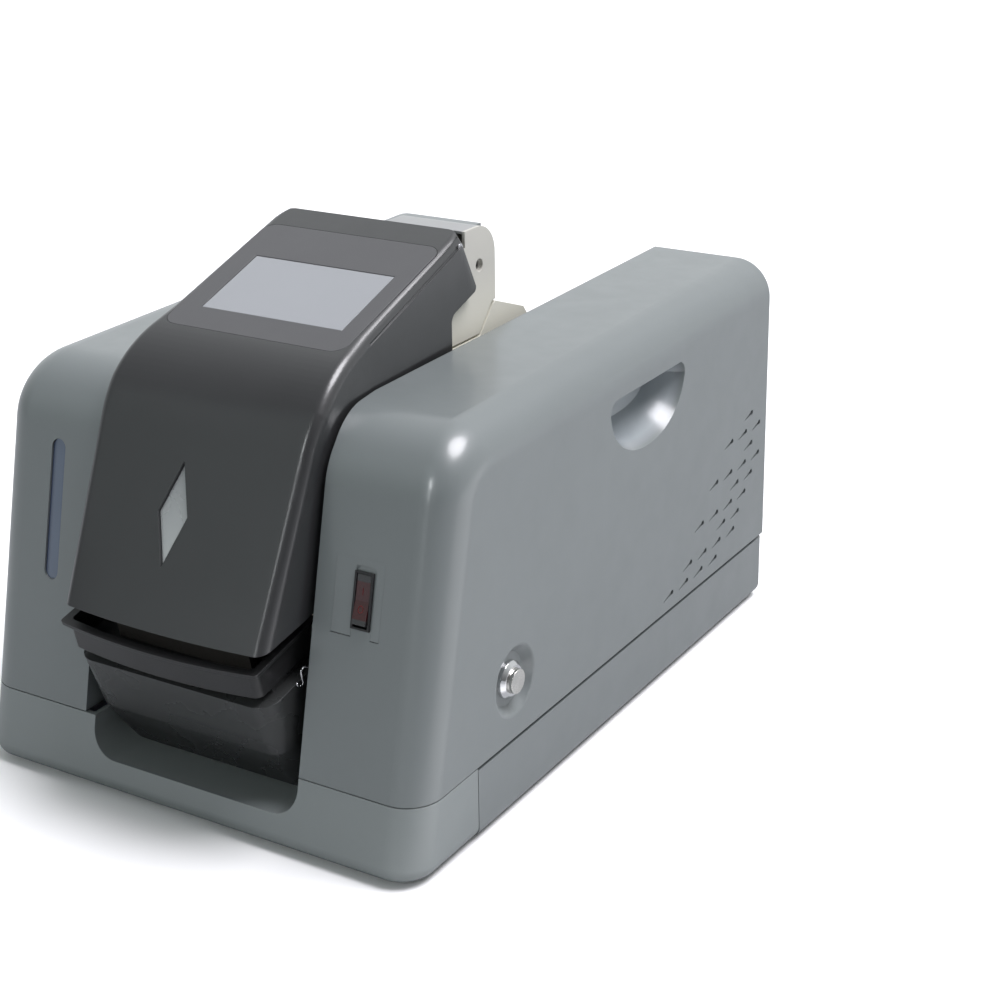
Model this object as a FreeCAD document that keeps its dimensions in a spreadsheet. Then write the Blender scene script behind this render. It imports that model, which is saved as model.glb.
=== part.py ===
import FreeCAD, Part
import math
import os

import Sketcher

# Counter-top dispenser for gummed paper tape: two grey covers on a lower skirt, a black hinged
# hood with a touch screen between them, a moistening tray at the mouth, and the tape bay behind.
# Millimetres. +X is the machine's right seen from behind, -Y its front, +Z up. The origin is on
# the table, below the middle of the machine.

doc = FreeCAD.newDocument("tape_dispenser")
sheet = doc.addObject("Spreadsheet::Sheet", "Sizes")


class Size:
    """A length or angle with its value and the sheet formula that it comes from."""

    def __init__(self, value, rule):
        self.value = float(value)
        self.rule = rule

    def __add__(self, other):
        other = as_size(other)
        return Size(self.value + other.value, "(%s + %s)" % (self.rule, other.rule))

    def __sub__(self, other):
        other = as_size(other)
        return Size(self.value - other.value, "(%s - %s)" % (self.rule, other.rule))

    def __mul__(self, other):
        other = as_size(other)
        return Size(self.value * other.value, "(%s * %s)" % (self.rule, other.rule))

    def __truediv__(self, other):
        other = as_size(other)
        return Size(self.value / other.value, "(%s / %s)" % (self.rule, other.rule))

    def __radd__(self, other):
        return as_size(other) + self

    def __rsub__(self, other):
        return as_size(other) - self

    def __rmul__(self, other):
        return as_size(other) * self

    def __neg__(self):
        return Size(-self.value, "(0 - %s)" % self.rule)


def as_size(number):
    return number if isinstance(number, Size) else Size(number, repr(number))


def sin_of(angle):
    return Size(math.sin(math.radians(angle.value)), "sin(%s)" % angle.rule)


def cos_of(angle):
    return Size(math.cos(math.radians(angle.value)), "cos(%s)" % angle.rule)


def tan_of(angle):
    return Size(math.tan(math.radians(angle.value)), "tan(%s)" % angle.rule)


SIZES = {
    # How far the finished pieces move back, to centre their length on the origin
    "origin_shift": 7.2,
    # Casing: overall form of the covers and the skirts
    "body_width": 305,
    "front_reach": 211,
    "rear_reach": 218,
    "front_lean_angle": 13,
    "rear_lean_angle": 1.4,
    "floor_gap": 2,
    "seam_height": 45.6,
    "front_seam_gap": 0.6,
    "side_seam_gap": 1.8,
    "top_height": 238,
    "top_front_height": 234,
    "cover_wall": 3,
    "plan_corner_radius": 20,
    "top_edge_radius": 24,
    "front_top_radius": 42,
    "bottom_edge_radius": 8,
    "rear_corner_radius": 5,
    "skirt_split": 155,
    "skirt_flange": 14,
    "cover_flange": 14,
    # Channel between the covers, which flares towards the front
    "channel_half": 68.5,
    "channel_front_half": 75,
    "flare_start": 118,
    "flare_end": 165,
    # Mouth in the front skirt
    "mouth_floor": 22.5,
    "mouth_left": 67.8,
    "mouth_right": 75,
    "mouth_corner_radius": 16,
    "mouth_depth": 50,
    # Grip recesses in the covers' outer sides
    "grip_centre_y": 41,
    "grip_length": 97,
    "grip_height": 41,
    "grip_top": 207,
    "grip_corner_radius": 8,
    "grip_depth": 22,
    "grip_rise": 8,
    "grip_inset": 9,
    "grip_waist_share": 0.45,
    "grip_tuck_back_share": 0.08,
    "grip_tuck_down_share": 0.12,
    # Vent slits
    "vent_pitch": 21.3,
    "vent_row_pitch": 10.6,
    "vent_rear_inset": 11.5,
    "vent_top_z": 141,
    "vent_length": 11.5,
    "vent_height": 2.4,
    "vent_head_radius": 1.8,
    "vent_drop": 1.8,
    "vent_groove_depth": 1.6,
    "vent_tail_depth": 0.3,
    "vent_tail_height": 0.9,
    "vent_tilt_angle": 14,
    # Level window in the left cover
    "level_place_share": 0.426,
    "level_low_z": 114.5,
    "level_high_z": 194,
    "level_width": 10,
    "level_set_back": 1.2,
    "level_lens": 1.6,
    # Rocker switch in the right cover
    "switch_place_share": 0.391,
    "switch_z": 147,
    "switch_height": 31,
    "switch_width": 11.5,
    "switch_bezel": 1.6,
    "switch_bezel_wall": 0.5,
    "switch_body_wall": 0.7,
    "switch_cut_clearance": 0.3,
    "switch_body_depth": 22,
    "rocker_clearance": 0.25,
    "rocker_pivot_depth": 5,
    "rocker_pin_radius": 1.2,
    "rocker_high": 3.4,
    "rocker_low": 1.0,
    "rocker_tip": 1.6,
    "rocker_room_share": 2.2,
    "rocker_root_share": 1.6,
    "rocker_dip_share": 1.1,
    "rocker_flank_share": 0.86,
    "rocker_foot_share": 0.3,
    "rocker_low_flank_share": 0.6,
    "rocker_high_flank_share": 0.5,
    "rocker_pin_wall_share": 0.4,
    "rocker_bore_wall_share": 0.6,
    # Push button in the right cover
    "button_y": 115,
    "button_z": 80.5,
    "dish_radius": 20.5,
    "dish_floor_radius": 15.5,
    "dish_depth": 5,
    "dish_rim_radius": 2.5,
    "dish_boss_radius": 24,
    "bezel_radius": 11,
    "bezel_height": 4.2,
    "bezel_chamfer": 2.2,
    "cap_radius": 7.1,
    "cap_reach": 6.9,
    "cap_depth": 8,
    "cap_clearance": 0.08,
    "barrel_radius": 9.5,
    "barrel_length": 28,
    # Hood
    "hood_wall": 3.2,
    "hood_top_z": 298.9,
    "hood_top_y": 18.6,
    "hood_slope_angle": 18.47,
    "hood_front_angle": 26.1,
    "hood_knee_y": 169.2,
    "hood_knee_radius": 80,
    "hood_edge_radius": 6.5,
    "hood_stock_share": 1.25,
    "hood_rear_half": 64.8,
    "hood_waist_half": 66.8,
    "hood_waist_y": 118,
    "hood_shoulder_half": 72.2,
    "hood_shoulder_y": 166,
    "hood_front_half": 69,
    "hood_front_y": 225,
    "hood_tail_y": 7,
    "hood_tail_drop": 36.9,
    "hood_tail_radius": 3,
    "hood_notch_y": 35.3,
    "hood_notch_drop": 45.6,
    "hood_side_bottom_z": 165,
    "hood_over_tray": 11,
    # Hood hinge
    "hinge_y": 22,
    "hinge_drop": 8.9,
    "hinge_pin_radius": 2.5,
    "hinge_ear_radius": 3.9,
    "hinge_clearance": 0.06,
    "hinge_skin": 0.9,
    # Display and window in the hood
    "overlay_half_width": 61,
    "overlay_length": 106,
    "overlay_start": 19,
    "overlay_thickness": 1.2,
    "overlay_corner_radius": 9,
    "overlay_gap": 0.25,
    "screen_width": 95.04,
    "screen_height": 53.86,
    "screen_start": 52,
    "screen_x": 1.5,
    "screen_thickness": 2.6,
    "screen_gap": 0.3,
    "display_board_width": 106,
    "display_board_height": 68,
    "window_half_width": 10,
    "window_half_height": 29,
    "window_centre": 78,
    "window_x": -5,
    "window_bevel": 2,
    "window_thickness": 1.4,
    "window_set_back": 1.8,
    # Outlet tray, which slides out along a slope
    "tray_angle": 12.8,
    "tray_front_y": 230.5,
    "tray_front_z": 110.5,
    "tray_middle_x": -3,
    "tray_half_width": 64.5,
    "tray_depth": 57.6,
    "tray_height": 18,
    "tray_bow_radius": 430,
    "tray_wall": 2,
    "tray_corner_radius": 5,
    "rim_corner_radius": 2.5,
    "runner_inset": 8,
    "rim_overhang": 3,
    "rim_thickness": 2,
    "brush_first": 19.6,
    "brush_row_depth": 5,
    "brush_row_gap": 6,
    "brush_half_width": 46,
    "brush_tip": 1.2,
    # Outlet chute below the tray
    "chute_half_width": 67,
    "chute_top_y": 223,
    "chute_top_z": 88.2,
    "chute_bend_y": 210,
    "chute_bend_z": 54,
    "chute_foot_y": 188,
    "chute_foot_z": 23.5,
    "chute_rear_y": 158,
    "chute_wall": 2.5,
    "chute_corner_radius": 12,
    "runner_width": 5,
    "runner_start_share": 0.3,
    "running_gap": 0.3,
    # Frame plates and feed head
    "plate_face": 60,
    "plate_thickness": 2,
    "plate_shoulder_share": 1.6,
    "plate_front_y": 158,
    "plate_top_z": 231,
    "plate_rear_y": 212,
    "plate_bay_z": 206,
    "plate_foot_width": 12,
    "pan_thickness": 2,
    "pan_flange": 10,
    "pan_clearance": 0.4,
    "pan_front_gap": 6,
    "pan_bend_share": 0.3,
    "head_rear_y": 19.5,
    "head_top_drop": 3.9,
    "head_front_top_y": 11.8,
    "head_swing_drop": 2.2,
    "head_front_y": 34,
    "head_corner_radius": 17,
    "head_lap_radius": 4,
    "head_left_drop": 13,
    "head_cover_left": 6,
    "head_parting_z": 248,
    "head_cover_thickness": 1.5,
    "head_cover_drop": 33,
    "head_lap": 22,
    "peak_front_y": 21,
    "peak_rear_y": 53.5,
    "peak_rear_z": 236.4,
    "head_gap": 1.4,
    "access_hole_radius": 3.8,
    "access_y": 3.4,
    "access_z": 273.6,
    "guide_roller_radius": 10,
    "guide_roller_half": 48,
    "guide_journal_radius": 3,
    "guide_bush_radius": 7,
    "journal_clearance": 0.05,
    # Feed train
    "path_angle": 33,
    "nip_y": 75,
    "nip_z": 212,
    "feed_radius": 15,
    "feed_half": 40,
    "feed_shaft_radius": 4,
    "bearing_radius": 11,
    "bearing_width": 6,
    "pressure_radius": 9,
    "pressure_axle_radius": 2.5,
    "pressure_half": 42,
    "arm_pivot_y": 48,
    "arm_pivot_z": 222,
    "arm_pivot_radius": 3,
    "arm_width": 3.5,
    "arm_web_share": 0.7,
    "arm_eye_radius": 6.5,
    "arm_x": 45,
    "feed_pulley_radius": 13,
    "motor_pulley_radius": 9,
    "pulley_width": 9,
    "pulley_x": 43.5,
    "belt_thickness": 1.4,
    "belt_width": 7,
    "motor_y": 66.8,
    "motor_z": 118,
    "motor_radius": 21,
    "motor_length": 58,
    "motor_shaft_radius": 3,
    "bracket_thickness": 2.5,
    "bracket_half_depth": 30,
    "bracket_foot": 24,
    "tie_rod_radius": 4,
    # Cutter
    "cut_at": 62,
    "blade_half_width": 46,
    "blade_thickness": 2.5,
    "blade_gap": 0.3,
    "blade_height": 16,
    "blade_rest": 3,
    "carrier_height": 8,
    "carrier_depth": 10,
    "carrier_half": 56,
    "guide_rod_radius": 3,
    "guide_rod_x": 51.5,
    "bed_depth": 8,
    "bed_height": 15,
    "bridge_rise": 31,
    "bridge_thickness": 2.5,
    "bridge_depth": 24,
    "solenoid_height": 25,
    "solenoid_half_width": 16,
    "plunger_radius": 5,
    "guide_plate_thickness": 1.5,
    "guide_lead_share": 1.5,
    "guide_clear_share": 1.5,
    "guide_drop": 1.5,
    # Tape bay
    "bay_front_y": 48,
    "bay_rear_y": 204,
    "bay_floor_z": 14,
    "bay_front_z": 200,
    "bay_back_z": 150,
    "bay_sheet": 1.5,
    "bay_roller_radius": 10,
    "bay_roller_half": 55,
    "bay_roller_z": 40,
    "bay_roller_spacing": 80,
    "bay_centre_y": 125,
    "side_guide_x": 37,
    "side_guide_thickness": 2,
    "side_guide_length": 120,
    "side_guide_top_z": 150,
    "side_guide_low_z": 52,
    "side_guide_stem": 40,
    "side_guide_hub_radius": 8,
    "side_guide_hub_length": 12,
    "slide_rod_z": 27,
    # Water side, in the left cover
    "tank_side_gap": 5.5,
    "tank_inner_x": 84,
    "tank_front_gap": 12,
    "tank_rear_y": 60,
    "tank_high_z": 196,
    "tank_wall": 2,
    "tank_corner_share": 0.57,
    "tank_cap_radius": 16,
    "tank_cap_height": 12,
    "tank_neck_radius": 13,
    "tank_neck_height": 8,
    "tank_cap_y": 92,
    "hose_radius": 3.5,
    "hose_bend_share": 1.6,
    "hose_low_z": 34,
    "hose_run": 28,
    # Electrics
    "supply_side_gap": 6.5,
    "supply_foot_gap": 9,
    "supply_length": 120,
    "supply_height": 42,
    "supply_rear_gap": 108,
    "board_standoff": 10,
    "board_thickness": 1.6,
    "board_y": 88,
    "board_length": 130,
    "board_low_z": 62,
    "board_height": 100,
    "standoff_radius": 3,
    "standoff_inset": 8,
    "fan_rear_gap": 66,
    "fan_spoke_width": 2,
    "fan_spoke_share": 0.96,
    "fan_z": 96,
    "fan_side": 60,
    "fan_thickness": 15,
    "fan_bore_radius": 27,
    "fan_hub_radius": 12,
    "fan_blade_gap": 1.2,
    "fan_blade_thickness": 1.6,
    "fan_axle_radius": 1.5,
    "fan_axle_share": 0.7,
    "inlet_x": 40,
    "inlet_z": 70,
    "inlet_width": 27.5,
    "inlet_height": 20,
    "inlet_flange": 4,
    "inlet_pin_share": 1.75,
    "rear_panel_thickness": 2,
    "rear_panel_top_z": 178,
    "rear_panel_y": 210,
    "panel_clearance": 0.5,
    # Small parts
    "foot_radius": 10,
    "foot_side_inset": 29.5,
    "foot_front_inset": 56,
    "foot_rear_inset": 63,
    "cutter_overrun": 2,
}

FAN_BLADES = 7


def fill_sheet():
    named = {}
    for row, (name, value) in enumerate(SIZES.items(), start=1):
        sheet.set("A%d" % row, name.replace("_", " "))
        sheet.set("B%d" % row, str(value))
        sheet.setAlias("B%d" % row, name)
        named[name] = Size(value, "Sizes." + name)
    return named


class Named:
    """Gives each named size as an attribute."""

    def __init__(self, named):
        self.__dict__.update(named)


s = Named(fill_sheet())
doc.recompute()

ZERO = as_size(0)
nodes = {}

# How near an edge or a face has to be to what a test looks for
TOUCH = 1e-3
MOSTLY = 0.7
NEARLY_ALL = 0.9


def bind(item, target, length):
    item.setExpression(target, as_size(length).rule)


def node(item, label):
    """Names a finished sub-part, shifts it to the part's origin and keeps it for the export."""
    item.Label = label
    placed = [rule for target, rule in item.ExpressionEngine if target.lstrip(".") == "Placement.Base.y"]
    shift = s.origin_shift.rule
    item.setExpression("Placement.Base.y", "%s + %s" % (placed[0], shift) if placed else shift)
    nodes[label] = item
    return item


# Shapes: every helper makes one document object whose sizes are bound to the sheet

AXIS_ROTATION = {
    "x": FreeCAD.Rotation(FreeCAD.Vector(0, 1, 0), 90),
    "y": FreeCAD.Rotation(FreeCAD.Vector(1, 0, 0), -90),
    "z": FreeCAD.Rotation(),
}
PLANES = {"x": ("YZ_Plane", 1), "y": ("XZ_Plane", -1), "z": ("XY_Plane", 1)}


def place(item, at):
    for letter, length in zip("xyz", at):
        bind(item, "Placement.Base." + letter, length)


def box(name, low, high):
    item = doc.addObject("Part::Box", name)
    for side, a, b in zip(("Length", "Width", "Height"), low, high):
        bind(item, side, as_size(b) - a)
    place(item, low)
    return item


def cylinder(name, axis, at, radius, length):
    item = doc.addObject("Part::Cylinder", name)
    item.Placement = FreeCAD.Placement(FreeCAD.Vector(), AXIS_ROTATION[axis])
    bind(item, "Radius", radius)
    bind(item, "Height", length)
    place(item, at)
    return item


def cone(name, axis, at, low_radius, high_radius, length):
    item = doc.addObject("Part::Cone", name)
    item.Placement = FreeCAD.Placement(FreeCAD.Vector(), AXIS_ROTATION[axis])
    bind(item, "Radius1", low_radius)
    bind(item, "Radius2", high_radius)
    bind(item, "Height", length)
    place(item, at)
    return item


def prism(name, axis, points, low, high):
    """Extrudes an outline of corner points along an axis, from low to high."""
    role, sense = PLANES[axis]
    body = doc.addObject("PartDesign::Body", name)
    plane = [part for part in body.Origin.OriginFeatures if part.Role == role][0]
    outline = body.newObject("Sketcher::SketchObject", name + "_outline")
    outline.AttachmentSupport = [(plane, "")]
    outline.MapMode = "FlatFace"
    start = as_size(low) if sense > 0 else -as_size(high)
    bind(outline, ".AttachmentOffset.Base.z", start)
    corners = [(as_size(u), as_size(v)) for u, v in points]
    spots = [FreeCAD.Vector(u.value, v.value, 0) for u, v in corners]
    after = spots[1:] + spots[:1]
    outline.addGeometry([Part.LineSegment(a, b) for a, b in zip(spots, after)], False)
    count = len(corners)
    rules = [Sketcher.Constraint("Coincident", i, 2, (i + 1) % count, 1) for i in range(count)]
    for i, (u, v) in enumerate(corners):
        rules.append(Sketcher.Constraint("DistanceX", -1, 1, i, 1, u.value))
        rules.append(Sketcher.Constraint("DistanceY", -1, 1, i, 1, v.value))
    outline.addConstraint(rules)
    for i, (u, v) in enumerate(corners):
        bind(outline, "Constraints[%d]" % (count + 2 * i), u)
        bind(outline, "Constraints[%d]" % (count + 2 * i + 1), v)
    pad = body.newObject("PartDesign::Pad", name + "_pad")
    pad.Profile = outline
    bind(pad, "Length", as_size(high) - low)
    body.Tip = pad
    return body


def corner_edges(shape, axis, corner):
    """Numbers of the straight edges along an axis that stand on one corner of an outline."""
    kept = {"x": ("y", "z"), "y": ("x", "z"), "z": ("x", "y")}[axis]
    found = []
    for number, edge in enumerate(shape.Edges, start=1):
        ends = [vertex.Point for vertex in edge.Vertexes]
        near = [
            abs(getattr(end, letter) - as_size(length).value) < TOUCH
            for end in ends
            for letter, length in zip(kept, corner)
        ]
        if len(ends) == 2 and all(near):
            found.append("Edge%d" % number)
    return found


def round_corners(body, axis, rounds):
    """Rounds corners of a prism: rounds holds a corner and its radius."""
    for corner, radius in rounds:
        doc.recompute()
        base = body.Tip
        edges = corner_edges(body.Shape, axis, corner)
        fillet = body.newObject("PartDesign::Fillet", body.Name + "_round")
        fillet.Base = (base, edges)
        bind(fillet, "Radius", radius)
        body.Tip = fillet
    return body


def round_edges(item, chosen, radius):
    """Rounds the edges that a test picks, each with the radius that it gives."""
    doc.recompute()
    fillet = doc.addObject("Part::Fillet", item.Name + "_edges")
    fillet.Base = item
    picked = []
    for number, edge in enumerate(item.Shape.Edges, start=1):
        if chosen(edge):
            picked.append((number, radius.value, radius.value))
    fillet.Edges = picked
    return fillet


def fuse(name, *items):
    item = doc.addObject("Part::MultiFuse", name)
    item.Shapes = list(items)
    item.Refine = True
    return item


def cut(name, base, *tools):
    item = doc.addObject("Part::Cut", name)
    item.Base = base
    item.Tool = tools[0] if len(tools) == 1 else group(name + "_tools", *tools)
    item.Refine = True
    return item


def common(name, first, second):
    item = doc.addObject("Part::Common", name)
    item.Base = first
    item.Tool = second
    return item


def group(name, *items):
    item = doc.addObject("Part::Compound", name)
    item.Links = list(items)
    return item


def mirrored(name, item):
    twin = doc.addObject("Part::Mirroring", name)
    twin.Source = item
    twin.Normal = FreeCAD.Vector(1, 0, 0)
    return twin


class Slope:
    """A slanted frame in the side view: along runs on the slope, out stands square to it."""

    def __init__(self, y, z, along, out):
        self.y = y
        self.z = z
        self.along = along
        self.out = out

    def point(self, along, out):
        y = self.y + self.along[0] * along + self.out[0] * out
        z = self.z + self.along[1] * along + self.out[1] * out
        return (y, z)

    def rectangle(self, along, out):
        corners = ((along[0], out[0]), (along[1], out[0]), (along[1], out[1]), (along[0], out[1]))
        return [self.point(*corner) for corner in corners]

    def block(self, name, along, out, low_x, high_x):
        return prism(name, "x", self.rectangle(along, out), low_x, high_x)

    def rod(self, name, x, along, low_out, high_out, radius):
        """A round rod square to the slope."""
        item = doc.addObject("Part::Cylinder", name)
        tilt = math.degrees(math.atan2(self.out[0].value, self.out[1].value))
        turn = FreeCAD.Rotation(FreeCAD.Vector(1, 0, 0), -tilt)
        item.Placement = FreeCAD.Placement(FreeCAD.Vector(), turn)
        bind(item, "Radius", radius)
        bind(item, "Height", as_size(high_out) - low_out)
        y, z = self.point(as_size(along), as_size(low_out))
        place(item, (x, y, z))
        return item


half_width = s.body_width / 2
inner_half = half_width - s.cover_wall
front_span = half_width - s.channel_front_half
switch_x = s.channel_front_half + front_span * s.switch_place_share
level_x = s.channel_front_half + front_span * s.level_place_share
vent_last_y = s.rear_reach - s.vent_rear_inset
head_top_z = s.hood_top_z - s.head_top_drop
head_left_top_z = head_top_z - s.head_left_drop
hinge_z = s.hood_top_z - s.hinge_drop


def front_y(z, inset=ZERO):
    """The leaning front of the casing at a height."""
    return -(s.front_reach - inset / cos_of(s.front_lean_angle)) + (z - s.seam_height) * tan_of(
        s.front_lean_angle
    )


def rear_y(z, inset=ZERO):
    return s.rear_reach - inset - (z - s.seam_height) * tan_of(s.rear_lean_angle)


lean = Slope(
    front_y(s.switch_z),
    s.switch_z,
    (sin_of(s.front_lean_angle), cos_of(s.front_lean_angle)),
    (-cos_of(s.front_lean_angle), sin_of(s.front_lean_angle)),
)
hood_top = Slope(
    -s.hood_top_y,
    s.hood_top_z,
    (-cos_of(s.hood_slope_angle), -sin_of(s.hood_slope_angle)),
    (-sin_of(s.hood_slope_angle), cos_of(s.hood_slope_angle)),
)
hood_knee_z = s.hood_top_z - (s.hood_knee_y - s.hood_top_y) * tan_of(s.hood_slope_angle)
hood_front = Slope(
    -s.hood_knee_y,
    hood_knee_z,
    (-sin_of(s.hood_front_angle), -cos_of(s.hood_front_angle)),
    (-cos_of(s.hood_front_angle), sin_of(s.hood_front_angle)),
)
tray = Slope(
    -s.tray_front_y,
    s.tray_front_z,
    (cos_of(s.tray_angle), sin_of(s.tray_angle)),
    (-sin_of(s.tray_angle), cos_of(s.tray_angle)),
)
path = Slope(
    -s.nip_y,
    s.nip_z,
    (-cos_of(s.path_angle), -sin_of(s.path_angle)),
    (-sin_of(s.path_angle), cos_of(s.path_angle)),
)

# Casing


def cover_form(name, inset, low_x, high_x, edge_inset):
    """The covers' rounded outer form, or the same form moved in by a wall."""
    low_z = s.seam_height + s.front_seam_gap / 2
    if inset is not ZERO:
        low_z = low_z - s.cutter_overrun
    high_front = s.top_front_height - inset
    high_rear = s.top_height - inset
    front_top = (front_y(high_front, inset), high_front)
    points = [
        (front_y(low_z, inset), low_z),
        front_top,
        (rear_y(high_rear, inset), high_rear),
        (rear_y(low_z, inset), low_z),
    ]
    form = prism(name, "x", points, low_x, high_x)
    round_corners(form, "x", [(front_top, s.front_top_radius - inset)])
    if edge_inset is None:
        return form
    doc.recompute()
    side_x = as_size(high_x).value
    fillet = doc.addObject("Part::Fillet", name + "_edges")
    fillet.Base = form
    tall = (s.plan_corner_radius - edge_inset).value
    shallow = (s.top_edge_radius - edge_inset).value
    edges = []
    for number, edge in enumerate(form.Shape.Edges, start=1):
        box_ = edge.BoundBox
        if abs(box_.XMin - side_x) > TOUCH or abs(box_.XMax - side_x) > TOUCH:
            continue
        if box_.YMax > rear_y(high_rear, inset).value - TOUCH and box_.ZMin < high_front.value - 10:
            continue
        if box_.ZMax < low_z.value + TOUCH:
            continue
        first, last = edge.Vertexes[0].Point, edge.Vertexes[-1].Point
        if edge.Curve.TypeId == "Part::GeomCircle":
            lower_first = first.z < last.z
            radii = (tall, shallow) if lower_first else (shallow, tall)
        elif box_.ZMax - box_.ZMin > box_.YMax - box_.YMin:
            radii = (tall, tall)
        else:
            radii = (shallow, shallow)
        edges.append((number, radii[0], radii[1]))
    fillet.Edges = edges
    return fillet


def channel_form(name, offset, low_z, high_z):
    """The space between the covers, seen from above, made wider by an offset."""
    narrow = s.channel_half + offset
    wide = s.channel_front_half + offset
    rear = s.rear_reach + s.cutter_overrun * 2
    front = -(s.front_reach + s.cutter_overrun * 15)
    points = [
        (-narrow, rear),
        (-narrow, -s.flare_start),
        (-wide, -s.flare_end),
        (-wide, front),
        (wide, front),
        (wide, -s.flare_end),
        (narrow, -s.flare_start),
        (narrow, rear),
    ]
    return prism(name, "z", points, low_z, high_z)


def cover_shell(side):
    """One cover: rounded outer form, hollowed, and open towards the machine's middle."""
    name = side + "_cover"
    above = s.top_height + s.cutter_overrun
    outer = cover_form(name + "_outer", ZERO, s.channel_half, half_width, ZERO)
    hollow = cover_form(name + "_hollow", s.cover_wall, s.channel_half, inner_half, s.cover_wall)
    inner_channel = channel_form(name + "_inner_channel", s.cover_wall, ZERO, above)
    hollow = cut(name + "_room", hollow, inner_channel)
    window_inset = s.cover_wall + s.cover_flange
    window = cover_form(
        name + "_window", window_inset, s.channel_half - s.cover_wall,
        s.channel_front_half + s.cover_wall * 2, None,
    )
    outer_channel = channel_form(name + "_channel", ZERO, ZERO, above)
    return cut(name + "_shell", outer, outer_channel, hollow, window)


def grip_points(inset, shift):
    """D-shaped outline of a grip: flat on top, narrower below."""
    half = s.grip_length / 2 - inset
    top = s.grip_top - inset + shift
    low = s.grip_top - s.grip_height + inset + shift
    y = s.grip_centre_y
    shoulder = top - s.grip_corner_radius
    waist = half * s.grip_waist_share
    return [
        (y - half, shoulder),
        (y - half + s.grip_corner_radius, top),
        (y + half - s.grip_corner_radius, top),
        (y + half, shoulder),
        (y + waist, low),
        (y - waist, low),
    ]


def grip_sketch(name, points, x):
    """A smooth closed outline on a plane square to X."""
    outline = doc.addObject("Part::Feature", name)
    spots = [FreeCAD.Vector(x.value, y.value, z.value) for y, z in points]
    left, top_left, top_right, right, low_right, low_left = spots
    bottom = FreeCAD.Vector(x.value, (low_left.y + low_right.y) / 2, low_left.z)
    back = s.grip_tuck_back_share.value
    down = s.grip_tuck_down_share.value
    quarter_left = FreeCAD.Vector(
        x.value,
        (left.y + low_left.y) / 2 - (low_left.y - left.y) * back,
        (left.z + low_left.z) / 2 - (left.z - low_left.z) * down,
    )
    quarter_right = FreeCAD.Vector(x.value, left.y + right.y - quarter_left.y, quarter_left.z)
    curve = Part.BSplineCurve()
    curve.interpolate([right, quarter_right, bottom, quarter_left, left])
    corner_left = Part.Arc(
        left,
        FreeCAD.Vector(
            x.value,
            top_left.y - (top_left.y - left.y) * math.cos(math.radians(45)),
            left.z + (top_left.z - left.z) * math.sin(math.radians(45)),
        ),
        top_left,
    )
    corner_right = Part.Arc(
        top_right,
        FreeCAD.Vector(
            x.value,
            top_right.y + (right.y - top_right.y) * math.cos(math.radians(45)),
            right.z + (top_right.z - right.z) * math.sin(math.radians(45)),
        ),
        right,
    )
    edges = [
        curve.toShape(),
        corner_left.toShape(),
        Part.LineSegment(top_left, top_right).toShape(),
        corner_right.toShape(),
    ]
    outline.Shape = Part.Wire(Part.__sortEdges__(edges))
    return outline


def grip_loft(name, inset, outer_x, inner_x):
    """A tapering scoop between the outline on the cover's side and a smaller, higher one."""
    loft = doc.addObject("Part::Loft", name)
    loft.Sections = [
        grip_sketch(name + "_outside", grip_points(inset, ZERO), outer_x),
        grip_sketch(name + "_inside", grip_points(inset + s.grip_inset, s.grip_rise), inner_x),
    ]
    loft.Solid = True
    loft.Ruled = True
    return loft


def grip_cup(name):
    cup = grip_loft(
        name + "_cup", -s.cover_wall, inner_half + s.cover_wall / 2,
        half_width - s.grip_depth - s.cover_wall,
    )
    scoop = grip_loft(
        name + "_scoop", ZERO, half_width + s.cutter_overrun, half_width - s.grip_depth
    )
    return cup, scoop


# Rows of vent slits from the top: how many pitches the rearmost slit lies ahead of the last
# column, and how many slits the row has
VENT_ROW_SHARES = (
    (0.6, 1), (0, 3), (0.55, 1), (0, 4), (0.5, 2), (0.95, 4), (1.4, 2), (1.7, 4), (2.95, 4),
)


def vent_cutter(name):
    """Vents like a comma: a round hole, and a groove that thins and shallows out forwards and down."""
    tools = []
    head = s.vent_head_radius
    inner = inner_half - s.cover_wall
    for row, (ahead_share, count) in enumerate(VENT_ROW_SHARES):
        z = s.vent_top_z - row * s.vent_row_pitch
        for column in range(count):
            y = vent_last_y - (ahead_share + column) * s.vent_pitch
            spot = "%s_%d_%d" % (name, row, column)
            tools.append(cylinder(spot + "_hole", "x", (inner, y - head, z), head, s.cover_wall * 3))
            groove = doc.addObject("Part::Wedge", spot + "_groove")
            turn = FreeCAD.Rotation(FreeCAD.Vector(1, 0, 0), s.vent_tilt_angle.value)
            groove.Placement = FreeCAD.Placement(FreeCAD.Vector(), turn)
            bind(groove, "Ymin", ZERO)
            bind(groove, "Ymax", s.vent_length)
            for side in ("Xmax", "X2max"):
                bind(groove, side, s.cover_wall * 3)
            bind(groove, "Xmin", s.cover_wall * 2 - s.vent_tail_depth)
            bind(groove, "X2min", s.cover_wall * 2 - s.vent_groove_depth)
            bind(groove, "Zmin", -s.vent_tail_height)
            bind(groove, "Zmax", ZERO)
            bind(groove, "Z2min", -s.vent_height)
            bind(groove, "Z2max", ZERO)
            place(groove, (inner, y - head - s.vent_length, z - s.vent_drop))
            tools.append(groove)
    return group(name, *tools)


def slot_points(x, width, low, high):
    return [
        (x - width / 2, low),
        (x + width / 2, low),
        (x + width / 2, high),
        (x - width / 2, high),
    ]


def level_slot(name, clearance):
    """Round-ended upright slot through the left cover's leaning front."""
    width = s.level_width - clearance * 2
    low = s.level_low_z + clearance
    high = s.level_high_z - clearance
    points = slot_points(-level_x, width, low, high)
    through = -(s.flare_end - s.cutter_overrun * 10)
    slot = prism(name, "y", points, -(s.front_reach + s.cutter_overrun), through)
    radius = width / 2 - s.panel_clearance / 10
    return round_corners(slot, "y", [(corner, radius) for corner in points])


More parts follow.
